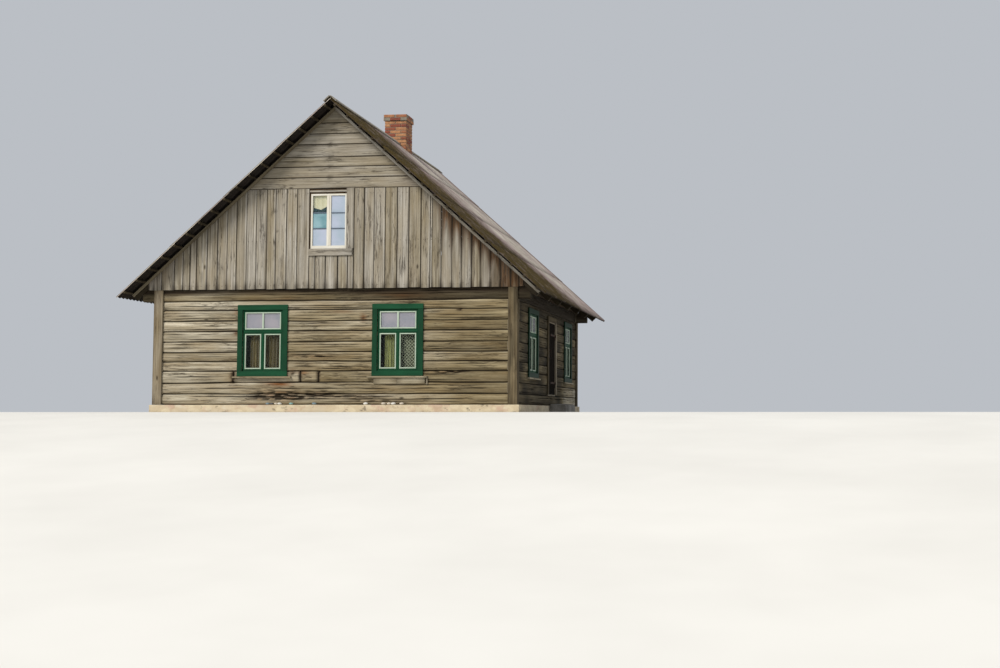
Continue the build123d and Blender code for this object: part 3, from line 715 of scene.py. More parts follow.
log_wood = weathered_wood("hewn_log_wood", log_shades, streak=15.0, depth=0.006)
board_wood = weathered_wood("gable_board_wood", board_shades, streak=32.0)
trim_wood = weathered_wood("corner_and_sill_wood", trim_shades, streak=28.0)
patch_wood = weathered_wood("patch_board_wood", patch_shades, streak=26.0)
door_wood = weathered_wood("dark_door_wood", door_shades, streak=26.0, gloss=0.03)
floor_wood = weathered_wood("floor_board_wood", floor_shades, streak=28.0)
beam_wood = weathered_wood("sawn_timber_across", timber_colours_with_painted_shade, turn=(0, 0, 0))
plate_wood = weathered_wood("sawn_timber_lengthwise", timber_colours_with_painted_shade, turn=timber_along_y)
stud_wood = weathered_wood("sawn_timber_upright", timber_colours_with_painted_shade, turn=timber_along_z)
batten_wood = weathered_wood("batten_wood", batten_colours_with_painted_shade, turn=timber_along_y)
rafter_wood = {
    "left": weathered_wood("rafter_wood_left", batten_colours_with_painted_shade, turn=(0, pitch, 0)),
    "right": weathered_wood("rafter_wood_right", batten_colours_with_painted_shade, turn=(0, -pitch, 0)),
}

green_paint = flaking_paint("green_window_paint", *palette((2, 46, 26), (15, 70, 43), (56, 50, 36)))
mint_paint = flaking_paint(
    "mint_bead_paint", *palette((180, 192, 176), (156, 172, 154), (100, 94, 76)), 0.70
)
cream_paint = flaking_paint(
    "cream_window_paint", *palette((214, 212, 204), (196, 191, 176), (130, 116, 94)), 0.70
)
slate_paint = flaking_paint(
    "slate_bar_paint", *palette((96, 108, 122), (78, 88, 100), (80, 80, 78)), 0.74
)
roof_finish = roof_cement()
render_finish = lime_render()
step_finish = rough_stone("door_step_stone", paint(150, 146, 138), paint(98, 94, 88))
pebble_finish = pebble_stone()
brick_finish = old_brick()
mortar_finish = lime_mortar()
iron_finish = rusty_iron()
room_glass = window_glass("room_window_glass", paint(70, 76, 72), paint(50, 56, 54), 0.08)
sky_glass = attic_glass()
net_cloth = curtain_cloth("net_cloth", paint(180, 181, 186), paint(172, 174, 178))
olive_cloth = curtain_cloth("olive_brown_cloth", paint(106, 94, 46), paint(44, 38, 16))
green_cloth = curtain_cloth("pale_green_cloth", paint(150, 156, 92), paint(70, 78, 38))
linen_cloth = curtain_cloth("linen_cloth", paint(196, 188, 166), paint(150, 140, 116))
blind_cloth = curtain_cloth("yellowed_blind_cloth", paint(210, 204, 170), paint(184, 176, 140))
lace_cloth = diamond_lace()


# Log walls


wall_seeds = {"front": 1.0, "back": 5.0, "left": 9.0, "right": 13.0}
log_seeds = {"front": 3, "back": 40, "left": 77, "right": 112}
log_joints = {("front", 2): [-2.09, -0.68, -0.30]}
joint_half = 0.007

# Marks of the front wall and gable: the place along and up it, the half width and height, and the share
rotten_places = [
    (-1.15, 0.37, 0.45, 0.080, 1.0), (-1.45, 0.29, 0.25, 0.050, 0.9), (-0.90, 0.27, 0.40, 0.045, 0.9),
    (-2.08, 0.68, 0.05, 0.11, 0.9), (-0.30, 0.36, 0.30, 0.060, 0.7), (0.45, 0.31, 0.60, 0.050, 0.5),
    (2.40, 0.80, 0.45, 0.030, 0.8), (-0.45, 1.12, 0.50, 0.040, 0.5), (-0.88, 0.80, 0.08, 0.060, 0.8),
    (-0.30, 0.78, 0.03, 0.060, 0.7), (2.60, 2.05, 0.06, 0.040, 0.8), (0.9, 0.22, 0.8, 0.04, 0.4),
]
reddish_places = [
    (1.45, 2.34, 0.60, 0.07, 0.8), (-2.02, 2.02, 0.07, 0.05, 0.7), (-2.02, 1.60, 0.06, 0.06, 0.9),
    (-0.62, 0.80, 0.10, 0.05, 0.8), (-1.12, 0.56, 0.26, 0.05, 1.0), (0.62, 1.90, 0.06, 0.08, 0.8),
    (-0.90, 2.28, 0.50, 0.04, 0.4), (0.20, 2.02, 0.30, 0.03, 0.5), (-2.10, 0.72, 0.05, 0.08, 0.7),
    (-0.85, 0.82, 0.07, 0.05, 0.6),
]
gable_knots = [
    (-1.238, 4.082, 0.040, 0.035, 0.9), (-1.053, 4.187, 0.025, 0.025, 0.8),
    (-1.175, 4.480, 0.030, 0.050, 0.8), (-1.458, 3.587, 0.025, 0.035, 0.8),
    (-1.185, 3.665, 0.022, 0.025, 0.7), (-1.230, 3.415, 0.018, 0.080, 0.8),
    (-0.727, 4.169, 0.020, 0.025, 0.8), (-1.402, 3.053, 0.020, 0.030, 0.6),
    (-0.370, 3.150, 0.030, 0.050, 0.9),
]


def seam_wander(name, seam, s):
    """How far a bed joint leaves its level at one place along the wall."""
    if seam in (0, 11):
        return 0.0
    seed = wall_seeds[name]
    slow = 0.016 * wave(s * 0.45, seam * 3.3, seed)
    fast = 0.006 * wave(s * 2.1, seam * 7.7, seed + 2)
    share = 0.35 if seam in (1, 3, 9) else 1.0
    return (slow + fast) * share


def marked(name, places, s, z):
    """How strongly the spots mark one place of a wall. Only the front has any."""
    total = 0.0
    if name == "front":
        for centre, level, wide, high, share in places:
            total += share * math.exp(-((s - centre) / wide) ** 2 - ((z - level) / high) ** 2)
    return min(1.0, total)


def past_corner(s):
    """Whether a place along a wall is on the end of a log that sticks out past the corner."""
    return abs(s) > half_width + 0.01


def log_tone(name, course, s, z, chance):
    """Paler to the left of the front wall and browner to the right. The top course, under the gable boards
    and eaves, and the right wall are darker with painted shade; log ends past the corners are darker.
    """
    tone = 0.42 + 0.26 * (chance - 0.5)
    if name == "front":
        tone += 0.15 - 0.26 * smooth(-3.2, 0.2, s) - 0.25 * smooth(0.8, 3.2, s)
    # Painted shade: the right wall is darker all over, and paler low towards its back end.
    if name == "right":
        tone += 1.45 * smooth(0.95, 0.30, z) * smooth(1.2, 2.8, s)
        tone += 0.36 * wave(s * 1.3, course * 3.1, 6.0) - 0.68
    # Painted shade under the gable boards and eaves: the top course is darker, more so to the right.
    if course == 10:
        tone -= 0.26 + 0.24 * smooth(-1.2, 0.4, s)
    if past_corner(s):
        tone -= 0.55
    if name == "front" and course == 2 and -2.09 < s < -0.98:
        tone += 0.14
    return tone + 0.12 * wave(s * 0.7, course * 2.2, 4.4)


def drying_cracks(chance, start, length):
    """Three long cracks, each with its level, its two ends, its strength and its phase."""
    cracks = []
    for level in (0.23, 0.49, 0.75):
        reach = chance.uniform(0.35, 0.95) * length
        begin = start + chance.uniform(-0.1, 1.0) * (length - reach)
        level += chance.uniform(-0.05, 0.05)
        cracks.append((level, begin, begin + reach, chance.uniform(0.4, 1.35), chance.uniform(0, 50)))
    return cracks


def sound_rows(low, high):
    """The two lines of a log's face between cracks."""
    return [(low + (high - low) * share, 0.0, 0.0) for share in (0.35, 0.7)]


def face_rows(cracks, s, bottom, top, seed):
    """The lines of a log's face at one place along it, each with its level, depth and grime."""
    worn = 0.90 + 0.80 * wave(s * 1.4, seed * 0.9, 6.0)
    worn = min(1.7, max(0.35, worn))
    shut = 0.72 + 0.28 * min(1.0, max(-1.0, 1.6 * wave(s * 2.3, seed * 0.4, 9.0)))
    below = bottom + 0.019 * worn
    rows = [(bottom, 0.040, shut), (bottom + 0.007 * worn, 0.018, shut), (below, 0.004, 0.5 * shut)]
    for level, begin, finish, strength, phase in cracks:
        opening = strength * smooth(begin, begin + 0.3, s) * smooth(finish, finish - 0.3, s)
        opening *= max(0.0, 0.45 + 0.75 * wave(s * 2.7, phase, 1.0))
        level += 0.05 * wave(s * 0.8, phase, 2.0) + 0.02 * wave(s * 5, phase, 3.0)
        middle = bottom + (top - bottom) * level
        half = 0.0015 + 0.0085 * min(1.0, opening)
        grime_and_shade = min(1.0, 1.6 * opening)
        rows += sound_rows(below, middle - half)
        rows += [(middle - half, 0.001, 0.45 * grime_and_shade), (middle, 0.003 + 0.032 * grime_and_shade, grime_and_shade)]
        below = middle + half
        rows.append((below, 0.001, 0.3 * grime_and_shade))
    upper = top - 0.015 * worn
    rows += sound_rows(below, upper)
    return rows + [(upper, 0.003, 0.25), (top - 0.006 * worn, 0.015, 0.9), (top, 0.040, 1.0)]


def hewn_log(shape, name, course, s_range, z_range, seed, cuts):
    """One log: worked faces, rounded bed joints, and long drying cracks that wander along it."""
    chance = random.Random(seed)
    wall = walls[name]
    gabled = name in ("front", "back")
    start, end = s_range
    length = end - start
    count = max(2, round(length / 0.05) + 1)
    cracks = drying_cracks(chance, start, length)
    own_tone = chance.random()
    rings = []
    for number in range(count):
        s = start + length * number / (count - 1)
        bottom = z_range[0] + seam_wander(name, course, s)
        top = z_range[1] + seam_wander(name, course + 1, s)
        roof_limit = roof_height(s) - 0.002 if gabled else math.inf
        joint = 1.0 if s in cuts else 0.0
        ring = []
        for z, depth, grime_and_shade in face_rows(cracks, s, bottom, top, seed):
            rot = marked(name, rotten_places, s, z)
            hole = min(1.0, 1.5 * rot) * smooth(-0.12, 0.18, wave(s * 6, z * 27, 3.3))
            worked = 0.5 + 0.5 * wave(s * 1.6, z * 9, seed * 0.7)
            chips = 0.5 + 0.5 * wave(s * 11, z * 34, seed * 0.3)
            level = (z - bottom) / (top - bottom)
            rounded = 0.010 * (2 * level - 1) ** 2
            sunk = depth + rounded + 0.007 * worked + 0.004 * chips + 0.040 * hole + 0.012 * joint
            z = min(z, roof_limit)
            grain = (s + seed * 3.17, z + seed * 0.71, -sunk)
            # Painted light: the upper half of each log is lighter and the lower half darker.
            tone = log_tone(name, course, s, z, own_tone) + 0.16 * (level - 0.5)
            # Painted shade at the top of each wall: under the gable boards on the front and back, under
            # the eaves on the sides.
            shaded = 0.92 * smooth(2.30, 2.44, z) if gabled else 0.60 * smooth(1.8, 2.40, z)
            grime_and_shade = min(1.0, max(grime_and_shade + 0.95 * hole, shaded, joint))
            reddish = max(marked(name, reddish_places, s, z), 0.55 * rot * (1 - hole))
            ring.append(shape.corner(wall.at(s, z, -sunk), grain, tone, grime_and_shade, reddish))
        inner_top = min(top, roof_limit)
        grime_and_shade = 0.9 if past_corner(s) else 0.3
        inner = [(inner_top, 0.012), (inner_top - 0.012, 0.0), (bottom + 0.012, 0.0), (bottom, 0.012)]
        for z, arris in inner:
            place = wall.at(s, z, -log_depth + arris)
            ring.append(shape.corner(place, (s + seed * 3.17, z + seed, 0.4), 0.45, grime_and_shade))
        rings.append(ring)
    shape.loft(rings)


def log_wall(name):
    """All the logs of a wall, some of them in lengths that meet in a joint."""
    shape = Shape()
    for box in solids_of(f"log_wall_{name}"):
        s_range, z_range, _ = walls[name].span(box)
        middle = (z_range[0] + z_range[1]) / 2
        course = max(index for index, seam in enumerate(seams[:-1]) if seam < middle)
        cuts = [cut for cut in log_joints.get((name, course), []) if s_range[0] < cut < s_range[1]]
        ends = [s_range[0], *cuts, s_range[1]]
        for index, (start, end) in enumerate(zip(ends, ends[1:])):
            begin = start + (joint_half if index else 0.0)
            finish = end - (joint_half if end in cuts else 0.0)
            joined = ([begin] if index else []) + ([finish] if end in cuts else [])
            seed = course * 11 + log_seeds[name] + index * 5 + s_range[0]
            hewn_log(shape, name, course, (begin, finish), z_range, round(seed, 1), joined)
    make(f"logs_{name}", shape, log_wood, "hewn_log", [f"log_wall_{name}"], crease=50)


# Boards of the walls and gables


def boards_of(node):
    """Each solid of a node, with its number, its wall, and its ranges along, up and outwards."""
    for index, box in enumerate(solids_of(node)):
        wall = wall_of(box)
        yield (index, wall, *wall.span(box))


def corner_planks():
    """The corner boards, with painted light and shade: pale at the left of each gable and on the left
    wall, dark elsewhere.
    """
    shape = Shape()
    for index, wall, s, z, out in boards_of("corner_boards"):
        # Painted light and shade: boards on the lit side are pale, the others dark.
        lit = wall in (walls["front"], walls["back"]) and s[0] < 0
        tone = 0.34 if lit or wall is walls["left"] else -0.20
        seed = 300 + index
        uneven = 0.15 if tone > 0 else 0.36

        def mark(u, v, tone, dirt_and_shade, seed=seed, uneven=uneven):
            blotch = wave(u * 2.2, v * 9, seed) + wave(u * 0.9, v * 34, seed + 5)
            return tone + uneven * blotch, dirt_and_shade, 0.0

        board_on(
            shape, wall, s, z, out, seed, upright=True, columns=6, relief=0.004, edge=0.006,
            edge_dirt=0.45, tone=tone, mark=mark,
        )
    make("corner_planks", shape, trim_wood, "trim_wood", ["corner_boards"])


def gable_mark(name, top_of, start, width, chance):
    """Grime and brown stains of one upright board, painted shade under the verge, its streaks, and the
    pale arris of some.
    """
    wet = chance.uniform(0.4, 1.0)
    reach = chance.uniform(0.40, 0.95)
    drip = chance.uniform(0.16, 0.36)
    seed = chance.uniform(0, 60)
    pale = 0.26 if chance.random() < 0.45 else 0.0

    def mark(u, v, tone, dirt_and_shade):
        z = gable_bottom + u
        s = start + v
        under = top_of(v) - z
        edge = 1 - min(v, width - v) / (width / 2)
        near = smooth(1.95, 2.35, s)
        run = near * (0.6 + 0.7 * wet) * smooth(reach * (0.6 + 0.8 * edge), 0.0, under)
        run += 0.75 * smooth(3.0, 3.5, s) * wet + 0.25 * smooth(-2.8, -3.7, s) * smooth(0.6, 0.0, under)
        soaked = near * edge ** 1.2 * smooth(2.2 * reach, 0.1, under)
        soaked = max(soaked, smooth(2.9, 3.4, s) * (1.25 - wet))
        # Painted shade: the board darkens towards its top, under the verge.
        shade = (0.50 if s < 0 else 0.55) * smooth(0.30, 0.0, under)
        drips = 0.95 * edge ** 1.5 * smooth(drip * (0.3 + edge), 0.0, u)
        knots = marked(name, gable_knots, s, z)
        light = pale if v > width - 0.020 else 0.0
        here = tone + light + 0.16 * wave(s * 26, u * 0.9, seed) + 0.10 * wave(s * 5, u * 2.1, seed)
        return here, max(dirt_and_shade * (1 - 1.5 * light), shade, drips, 0.95 * soaked, knots), min(1.0, run)

    return mark


def gable_planks(name):
    """Upright boards of uneven width, cut to the slopes and round the attic window."""
    wall = walls[name]
    shape = Shape()
    chance = random.Random(71 if name == "front" else 72)
    first_seed = 600 if name == "front" else 400
    play = 0.008
    window = (attic_left - attic_margin, attic_right + attic_margin)
    reach = half_width + 0.15
    joints = [-reach, -3.79, -3.62, -3.35, -3.17, -3.02, -2.88, -2.66, -2.44, -2.24, -2.04, -1.83, -1.63]
    joints += [-1.41, -1.22, -0.99, -0.77, window[0], -0.39, -0.17, 0.085, window[1], 0.41, 0.63, 0.83]
    joints += [1.06, 1.31, 1.55, 1.80, 1.99, 2.03, 2.22, 2.44, 2.63, 2.84, 3.02, 3.22, 3.42, 3.64, 3.80]
    joints.append(reach)
    for index, (s, after) in enumerate(zip(joints, joints[1:])):
        width = after - s
        under_window = window[0] - 0.01 < s and after < window[1] + 0.01
        foot = chance.uniform(-0.004, 0.010)
        drop = chance.uniform(0.0, play)
        gap = min(chance.uniform(0.002, 0.006), width * 0.1)
        tone = chance.uniform(0.52, 0.66) if width < 0.1 else chance.uniform(0.26, 0.50)
        corner = wall.at(s, gable_bottom, gable_back - drop + play)

        def top_of(v, s=s):
            return roof_height(s + v, board_layer)

        def cut(v, top_of=top_of):
            return min(band_level - 0.003, top_of(v)) - gable_bottom

        end = attic_low - gable_bottom - 0.004 if under_window else cut
        mark = gable_mark(name, top_of, s, width, chance)
        plank(
            shape, (corner, up, wall.right, wall.out), foot, end, width, gable_front - gable_back - play,
            first_seed + index, gap=gap, tone=tone, mark=mark, columns=7, wander=0.003, relief=0.004,
            edge_dirt=chance.uniform(0.35, 0.95), end_dirt=0.1, step=0.045,
        )
    above_window = (attic_high + 0.035, band_level - 0.034)
    board_on(shape, wall, inset(window, 0.004), above_window, (gable_back, gable_front), 640, tone=0.66)
    make(f"gable_planks_{name}", shape, board_wood, "gable_wood", [f"gable_boards_{name}"])


def peak_planks(name):
    """Level boards in the peak, each cut to the slopes, with painted shade under the verge."""
    wall = walls[name]
    shape = Shape()
    chance = random.Random(81 if name == "front" else 82)
    first_seed = 700 if name == "front" else 750
    top = roof_height(0, board_layer)
    levels = [band_level, 4.745, 4.965, 5.165, 5.42, 5.64, 5.86, top - 0.05]
    for index, (z, after) in enumerate(zip(levels, levels[1:])):
        thickness = gable_front - gable_back - chance.uniform(0, 0.004)

        def reach(v, z=z):
            return max(0.004, (top - z - v) / rise)

        def start(v, reach=reach):
            return -reach(v)

        def mark(u, v, tone, dirt_and_shade, z=z):
            level = z + v
            # Painted shade: darker near the slopes, under the verge.
            shade = 0.6 * smooth(0.22, 0.0, roof_height(u, board_layer) - z - v)
            beside = ((u + 0.10) / 0.05) ** 2
            knots = max(math.exp(-beside - ((level - joint) / 0.045) ** 2) for joint in levels[1:5])
            here = tone + 0.14 * wave(u * 0.8, level * 26, 3.0) + 0.08 * wave(u * 2.0, level * 6, 8.0)
            return here, max(dirt_and_shade, shade, 0.85 * knots), 0.25 * smooth(1.2, 1.6, u)

        plank(
            shape, (wall.at(0, z, gable_back), wall.right, up, wall.out), start, reach, after - z,
            thickness, first_seed + index, mark=mark, gap=0.003, wander=0.003, relief=0.004,
            columns=5, edge_dirt=0.80, step=0.06, tone=chance.uniform(0.30, 0.46),
        )
    make(f"gable_peak_planks_{name}", shape, board_wood, "gable_wood", [f"gable_peak_{name}"])


def verge_boards():
    """The thin boards along the top of the gables' sheeting, painted dark as shade on the left slope of
    each gable seen from outside.
    """
    shape = Shape()
    board_wide, board_thick, bare_tail = 0.06, 0.02, 0.13
    low, high = board_layer - board_wide, board_layer
    reach = eaves_reach - bare_tail / along
    for y, out in ((-half_length - gable_front, -1), (half_length + gable_front, 1)):
        for side in (-1, 1):
            start = slope_point(side, 0, low, y)
            lengthwise = slope_point(side, 1, low, y) - start
            crosswise = slope_point(side, 0, high, y) - start
            width = crosswise.length
            # Painted light and shade: one slope's boards are pale, the other's dark as if in shadow.
            pale = side * out < 0
            grime_and_shade = 0.0 if pale else 0.30

            def mark(u, v, tone, dirt_and_shade, grime_and_shade=grime_and_shade):
                return tone, max(dirt_and_shade, grime_and_shade), 0.0

            plank(
                shape, (start, lengthwise, crosswise / width, Vector((0, out, 0))),
                lambda v: -(low + v) * rise + 0.0006, reach, width, board_thick, 800 + side + out * 5,
                tone=0.52 if pale else 0.10, edge_dirt=0.35, end_dirt=0.35, mark=mark, step=0.25,
            )
    make("verge_boards", shape, board_wood, "gable_wood", ["verge_strips"])


def boards_from(name, node, finish, slot, seed, **wear):
    """Each solid of a node as a board on its wall."""
    shape = Shape()
    for index, wall, s, z, out in boards_of(node):
        board_on(shape, wall, s, z, out, seed + index, **wear)
    make(name, shape, finish, slot, [node])


# Windows


frame_wide = 0.020
member_wide = 0.044
mullion_half = 0.035
sash_gap = 0.002
sash_overlap = 0.022
bead_wide = 0.024
frame_out = (-0.068, -0.008)
transom_out = (-0.068, -0.004)
sash_out = (-0.060, -0.010)
cover_out = (-0.010, -0.003)
bead_out = (-0.0295, -0.0075)
painted_wear = {"step": 0.3, "tone": 0.5}
sash_wear = {"wander": 0.0005, "relief": 0.0005, "edge": 0.0025, "edge_dirt": 0.5, **painted_wear}
bead_wear = {"wander": 0.0008, "relief": 0.0005, "edge": 0.006, "edge_dirt": 0.4, **painted_wear}
attic_wear = {"wander": 0.0006, "relief": 0.0006, "edge": 0.003, "edge_dirt": 0.5, **painted_wear}


def casing_boards():
    """The green boards round the ground floor windows, darker upright and on the side walls."""
    shape = Shape()
    for index, wall, s, z, out in boards_of("window_casings"):
        tone = 0.28 if z[1] - z[0] > s[1] - s[0] else 0.5
        if wall in (walls["left"], walls["right"]):
            tone -= 0.45
        wear = {"wander": 0.001, "edge_dirt": 0.6, "relief": 0.001, "tone": tone}
        board_on(shape, wall, s, z, out, 2400 + index, **wear)
    make("window_casing_boards", shape, green_paint, "green_paint", ["window_casings"])


def doorway_boards():
    """The boards round the entrance: the one beside the hinges is paler than the others."""
    shape = Shape()
    for index, wall, s, z, out in boards_of("door_casing"):
        tone = 0.60 if s[0] > 0.4 and z[1] - z[0] > 1.0 else -0.22
        board_on(shape, wall, s, z, out, 2700 + index, relief=0.002, tone=tone)
    make("door_casing_boards", shape, trim_wood, "trim_wood", ["door_casing"])


def around(outer_s, outer_z, inner_s, inner_z):
    """The left, right, upper and lower parts of a frame, from its outer and inner edges."""
    return [
        ((outer_s[0], inner_s[0]), outer_z),
        ((inner_s[1], outer_s[1]), outer_z),
        (inner_s, (inner_z[1], outer_z[1])),
        (inner_s, (outer_z[0], inner_z[0])),
    ]


def window_parts(place):
    """The green parts of one window, each with its depths, and the three lights between them."""
    whole_s, whole_z = (place - window_half, place + window_half), (window_low, window_high)
    frame_s, frame_z = inset(whole_s, frame_wide), inset(whole_z, frame_wide)
    sash_s, sash_z = inset(frame_s, sash_gap), inset(frame_z, sash_gap)
    light_s, light_z = inset(whole_s, member_wide), inset(whole_z, member_wide)
    lower_sash_z = (sash_z[0], transom[0] + sash_overlap)
    lower_light_z = (light_z[0], transom[0])
    sashes = [
        (sash_s, (transom[1] - sash_overlap, sash_z[1])),
        ((sash_s[0], place - sash_gap / 2), lower_sash_z),
        ((place + sash_gap / 2, sash_s[1]), lower_sash_z),
    ]
    lights = [
        (light_s, (transom[1], light_z[1])),
        ((light_s[0], place - mullion_half), lower_light_z),
        ((place + mullion_half, light_s[1]), lower_light_z),
    ]
    parts = [(s, z, frame_out) for s, z in around(whole_s, whole_z, frame_s, frame_z)]
    parts.append((frame_s, inset(transom, 0.024), transom_out))
    for sash, light in zip(sashes, lights):
        parts += [(s, z, sash_out) for s, z in around(*sash, *light)]
    parts.append(((place - 0.012, place + 0.012), (window_low + 0.03, transom[0] + 0.01), cover_out))
    return parts, lights


def window_joinery():
    """Frames and sashes in green, and the pale beads and bars that hold the glass."""
    beads = Shape()
    seed = 900
    for name, places in window_places.items():
        wall = walls[name]
        green = Shape()
        for place in places:
            parts, lights = window_parts(place)
            for s, z, out in parts:
                seed += 1
                board_on(green, wall, s, z, out, seed, **sash_wear)
            for light in lights:
                glass_s, glass_z = [inset(span, bead_wide) for span in light]
                strips = around(*light, glass_s, glass_z)
                if light is lights[0]:
                    strips.append(((place - 0.018, place + 0.018), glass_z))
                for s, z in strips:
                    seed += 1
                    board_on(beads, wall, s, z, bead_out, seed, **bead_wear)
        make(f"window_sashes_{name}", green, green_paint, "green_paint", [f"window_frames_{name}"])
    make("window_beads", beads, mint_paint, "white_paint")


def attic_joinery():
    """The attic windows: cream frames, two casements each, with two thin bars across each casement."""
    shape, bars = Shape(), Shape()
    middle = (attic_left + attic_right) / 2
    stile, half_gap, cover, bar_half = 0.045, 0.003, 0.012, 0.010
    frame_depth, stile_depth = (-0.025, 0.035), (-0.025, 0.033)
    cover_depth, bar_depth = (0.030, 0.040), (0.0135, 0.026)
    whole_s, whole_z = (attic_left, attic_right), (attic_low, attic_high)
    light_s, upper_z = inset(whole_s, attic_member), inset(whole_z, attic_member)
    light_z = (upper_z[0] + 0.028, upper_z[1])
    parts = [(s, z, frame_depth) for s, z in around(whole_s, whole_z, light_s, light_z)]
    parts += [
        ((middle - stile, middle - half_gap), light_z, stile_depth),
        ((middle + half_gap, middle + stile), light_z, stile_depth),
        ((middle - cover, middle + cover), light_z, cover_depth),
    ]
    seed = 1500
    for name in ("front", "back"):
        for s, z, out in parts:
            seed += 1
            board_on(shape, walls[name], s, z, out, seed, **attic_wear)
        for s in ((light_s[0], middle - stile), (middle + stile, light_s[1])):
            for level in attic_bar_levels:
                seed += 1
                z = (level - bar_half, level + bar_half)
                board_on(bars, walls[name], s, z, bar_depth, seed, **attic_wear)
    make("attic_sashes", shape, cream_paint, "white_paint", ["attic_window_frames"])
    make("attic_bars", bars, slate_paint, "white_paint")


# Curtains


def hung_cloth(name, wall, s_range, z_range, out, fullness, folds, cloth, foot=None):
    """A length of cloth hung in folds from a rod. foot gives the level of its lower edge along it."""
    shape = Shape()
    columns = max(12, folds * 8)
    rows = 10
    low, top = z_range
    width = s_range[1] - s_range[0]
    swing = width / folds * math.sqrt(max(0.0, fullness ** 2 - 1)) / 4
    grid = []
    for row in range(rows + 1):
        line = []
        for column in range(columns + 1):
            share = column / columns
            bottom = foot(share) if foot else low
            z = top + (bottom - top) * row / rows
            phase = 2 * math.pi * folds * share + 0.5 * wave(share * 3, 2.0, folds)
            sway = swing * math.sin(phase) * (0.6 + 0.4 * row / rows)
            s = s_range[0] + width * share + 0.004 * wave(share * 4, row * 0.4, 7.0)
            grain = (share * width * fullness, z, 0.0)
            line.append(shape.corner(wall.at(s, z, out + sway), grain))
        grid.append(line)
    for upper, lower in zip(grid, grid[1:]):
        for column in range(columns):
            shape.faces.append((lower[column], lower[column + 1], upper[column + 1], upper[column]))
    piece = make(name, shape, cloth, None, crease=180, closed=False)


rod_level = 2.022
curtain_plane = -0.120
net_plane = -0.088


def curtain_rods():
    """Two thin rods across each opening, behind the frame: one for the curtains and one for the net."""
    shape = Shape()
    radius, sides = 0.004, 8
    for name, places in window_places.items():
        for middle in places:
            for out in (curtain_plane, net_plane):
                rings = []
                for end in (middle - window_half, middle + window_half):
                    ring = []
                    for index in range(sides):
                        turn = index * 2 * math.pi / sides
                        level = rod_level + radius * math.cos(turn)
                        place = walls[name].at(end, level, out + radius * math.sin(turn))
                        ring.append(shape.corner(place))
                    rings.append(ring)
                shape.loft(rings)
    make("curtain_rods", shape, iron_finish, "iron")


def torn_foot(share):
    """The level of the torn lower edge of an attic blind."""
    ragged = 0.010 * wave(share * 9, 1.0, 1.0)
    if share < 0.55:
        return 4.137 - 0.085 * share + ragged
    return 4.090 + 0.17 * (share - 0.55) + ragged


def curtains():
    """Short nets in the top lights and a pair of curtains behind each lower pair of casements."""
    curtain_rods()
    upper = (1.60, rod_level)
    lower = (0.85, rod_level)
    reach = 0.40
    part = 0.02
    cloths = {"front_1": (olive_cloth, olive_cloth), "front_2": (green_cloth, lace_cloth)}
    for name, places in window_places.items():
        wall = walls[name]
        drawn = 0.30 if name == "front" else reach
        for number, place in enumerate(places):
            label = f"{name}_{number + 1}"
            whole = (place - reach, place + reach)
            left = (place - drawn, place - part)
            right = (place + part, place + reach)
            hung_cloth(f"net_{label}", wall, whole, upper, net_plane, 1.005, 7, net_cloth)
            pair = cloths.get(label, (linen_cloth, linen_cloth))
            hung_cloth(f"curtain_left_{label}", wall, left, lower, curtain_plane, 1.3, 5, pair[0])
            fullness = 1.0 if pair[1] is lace_cloth else 1.3
            hung_cloth(f"curtain_right_{label}", wall, right, lower, curtain_plane, fullness, 5, pair[1])
    span = (attic_left + 0.040, (attic_left + attic_right) / 2 - 0.049)
    for name in ("front", "back"):
        hung_cloth(
            f"attic_blind_{name}", walls[name], span, (4.09, 4.40), -0.012, 1.0, 2, blind_cloth,
            foot=torn_foot,
        )


# Roof


wave_count = 55
wave_step = 2 * roof_half_length / wave_count
wave_height = 0.038
sheet_thick = 0.010
sheet_waves = 7
sheet_rows = 4
sheet_lap = 0.15
bolt_waves = (1.5, 3.5, 5.5)


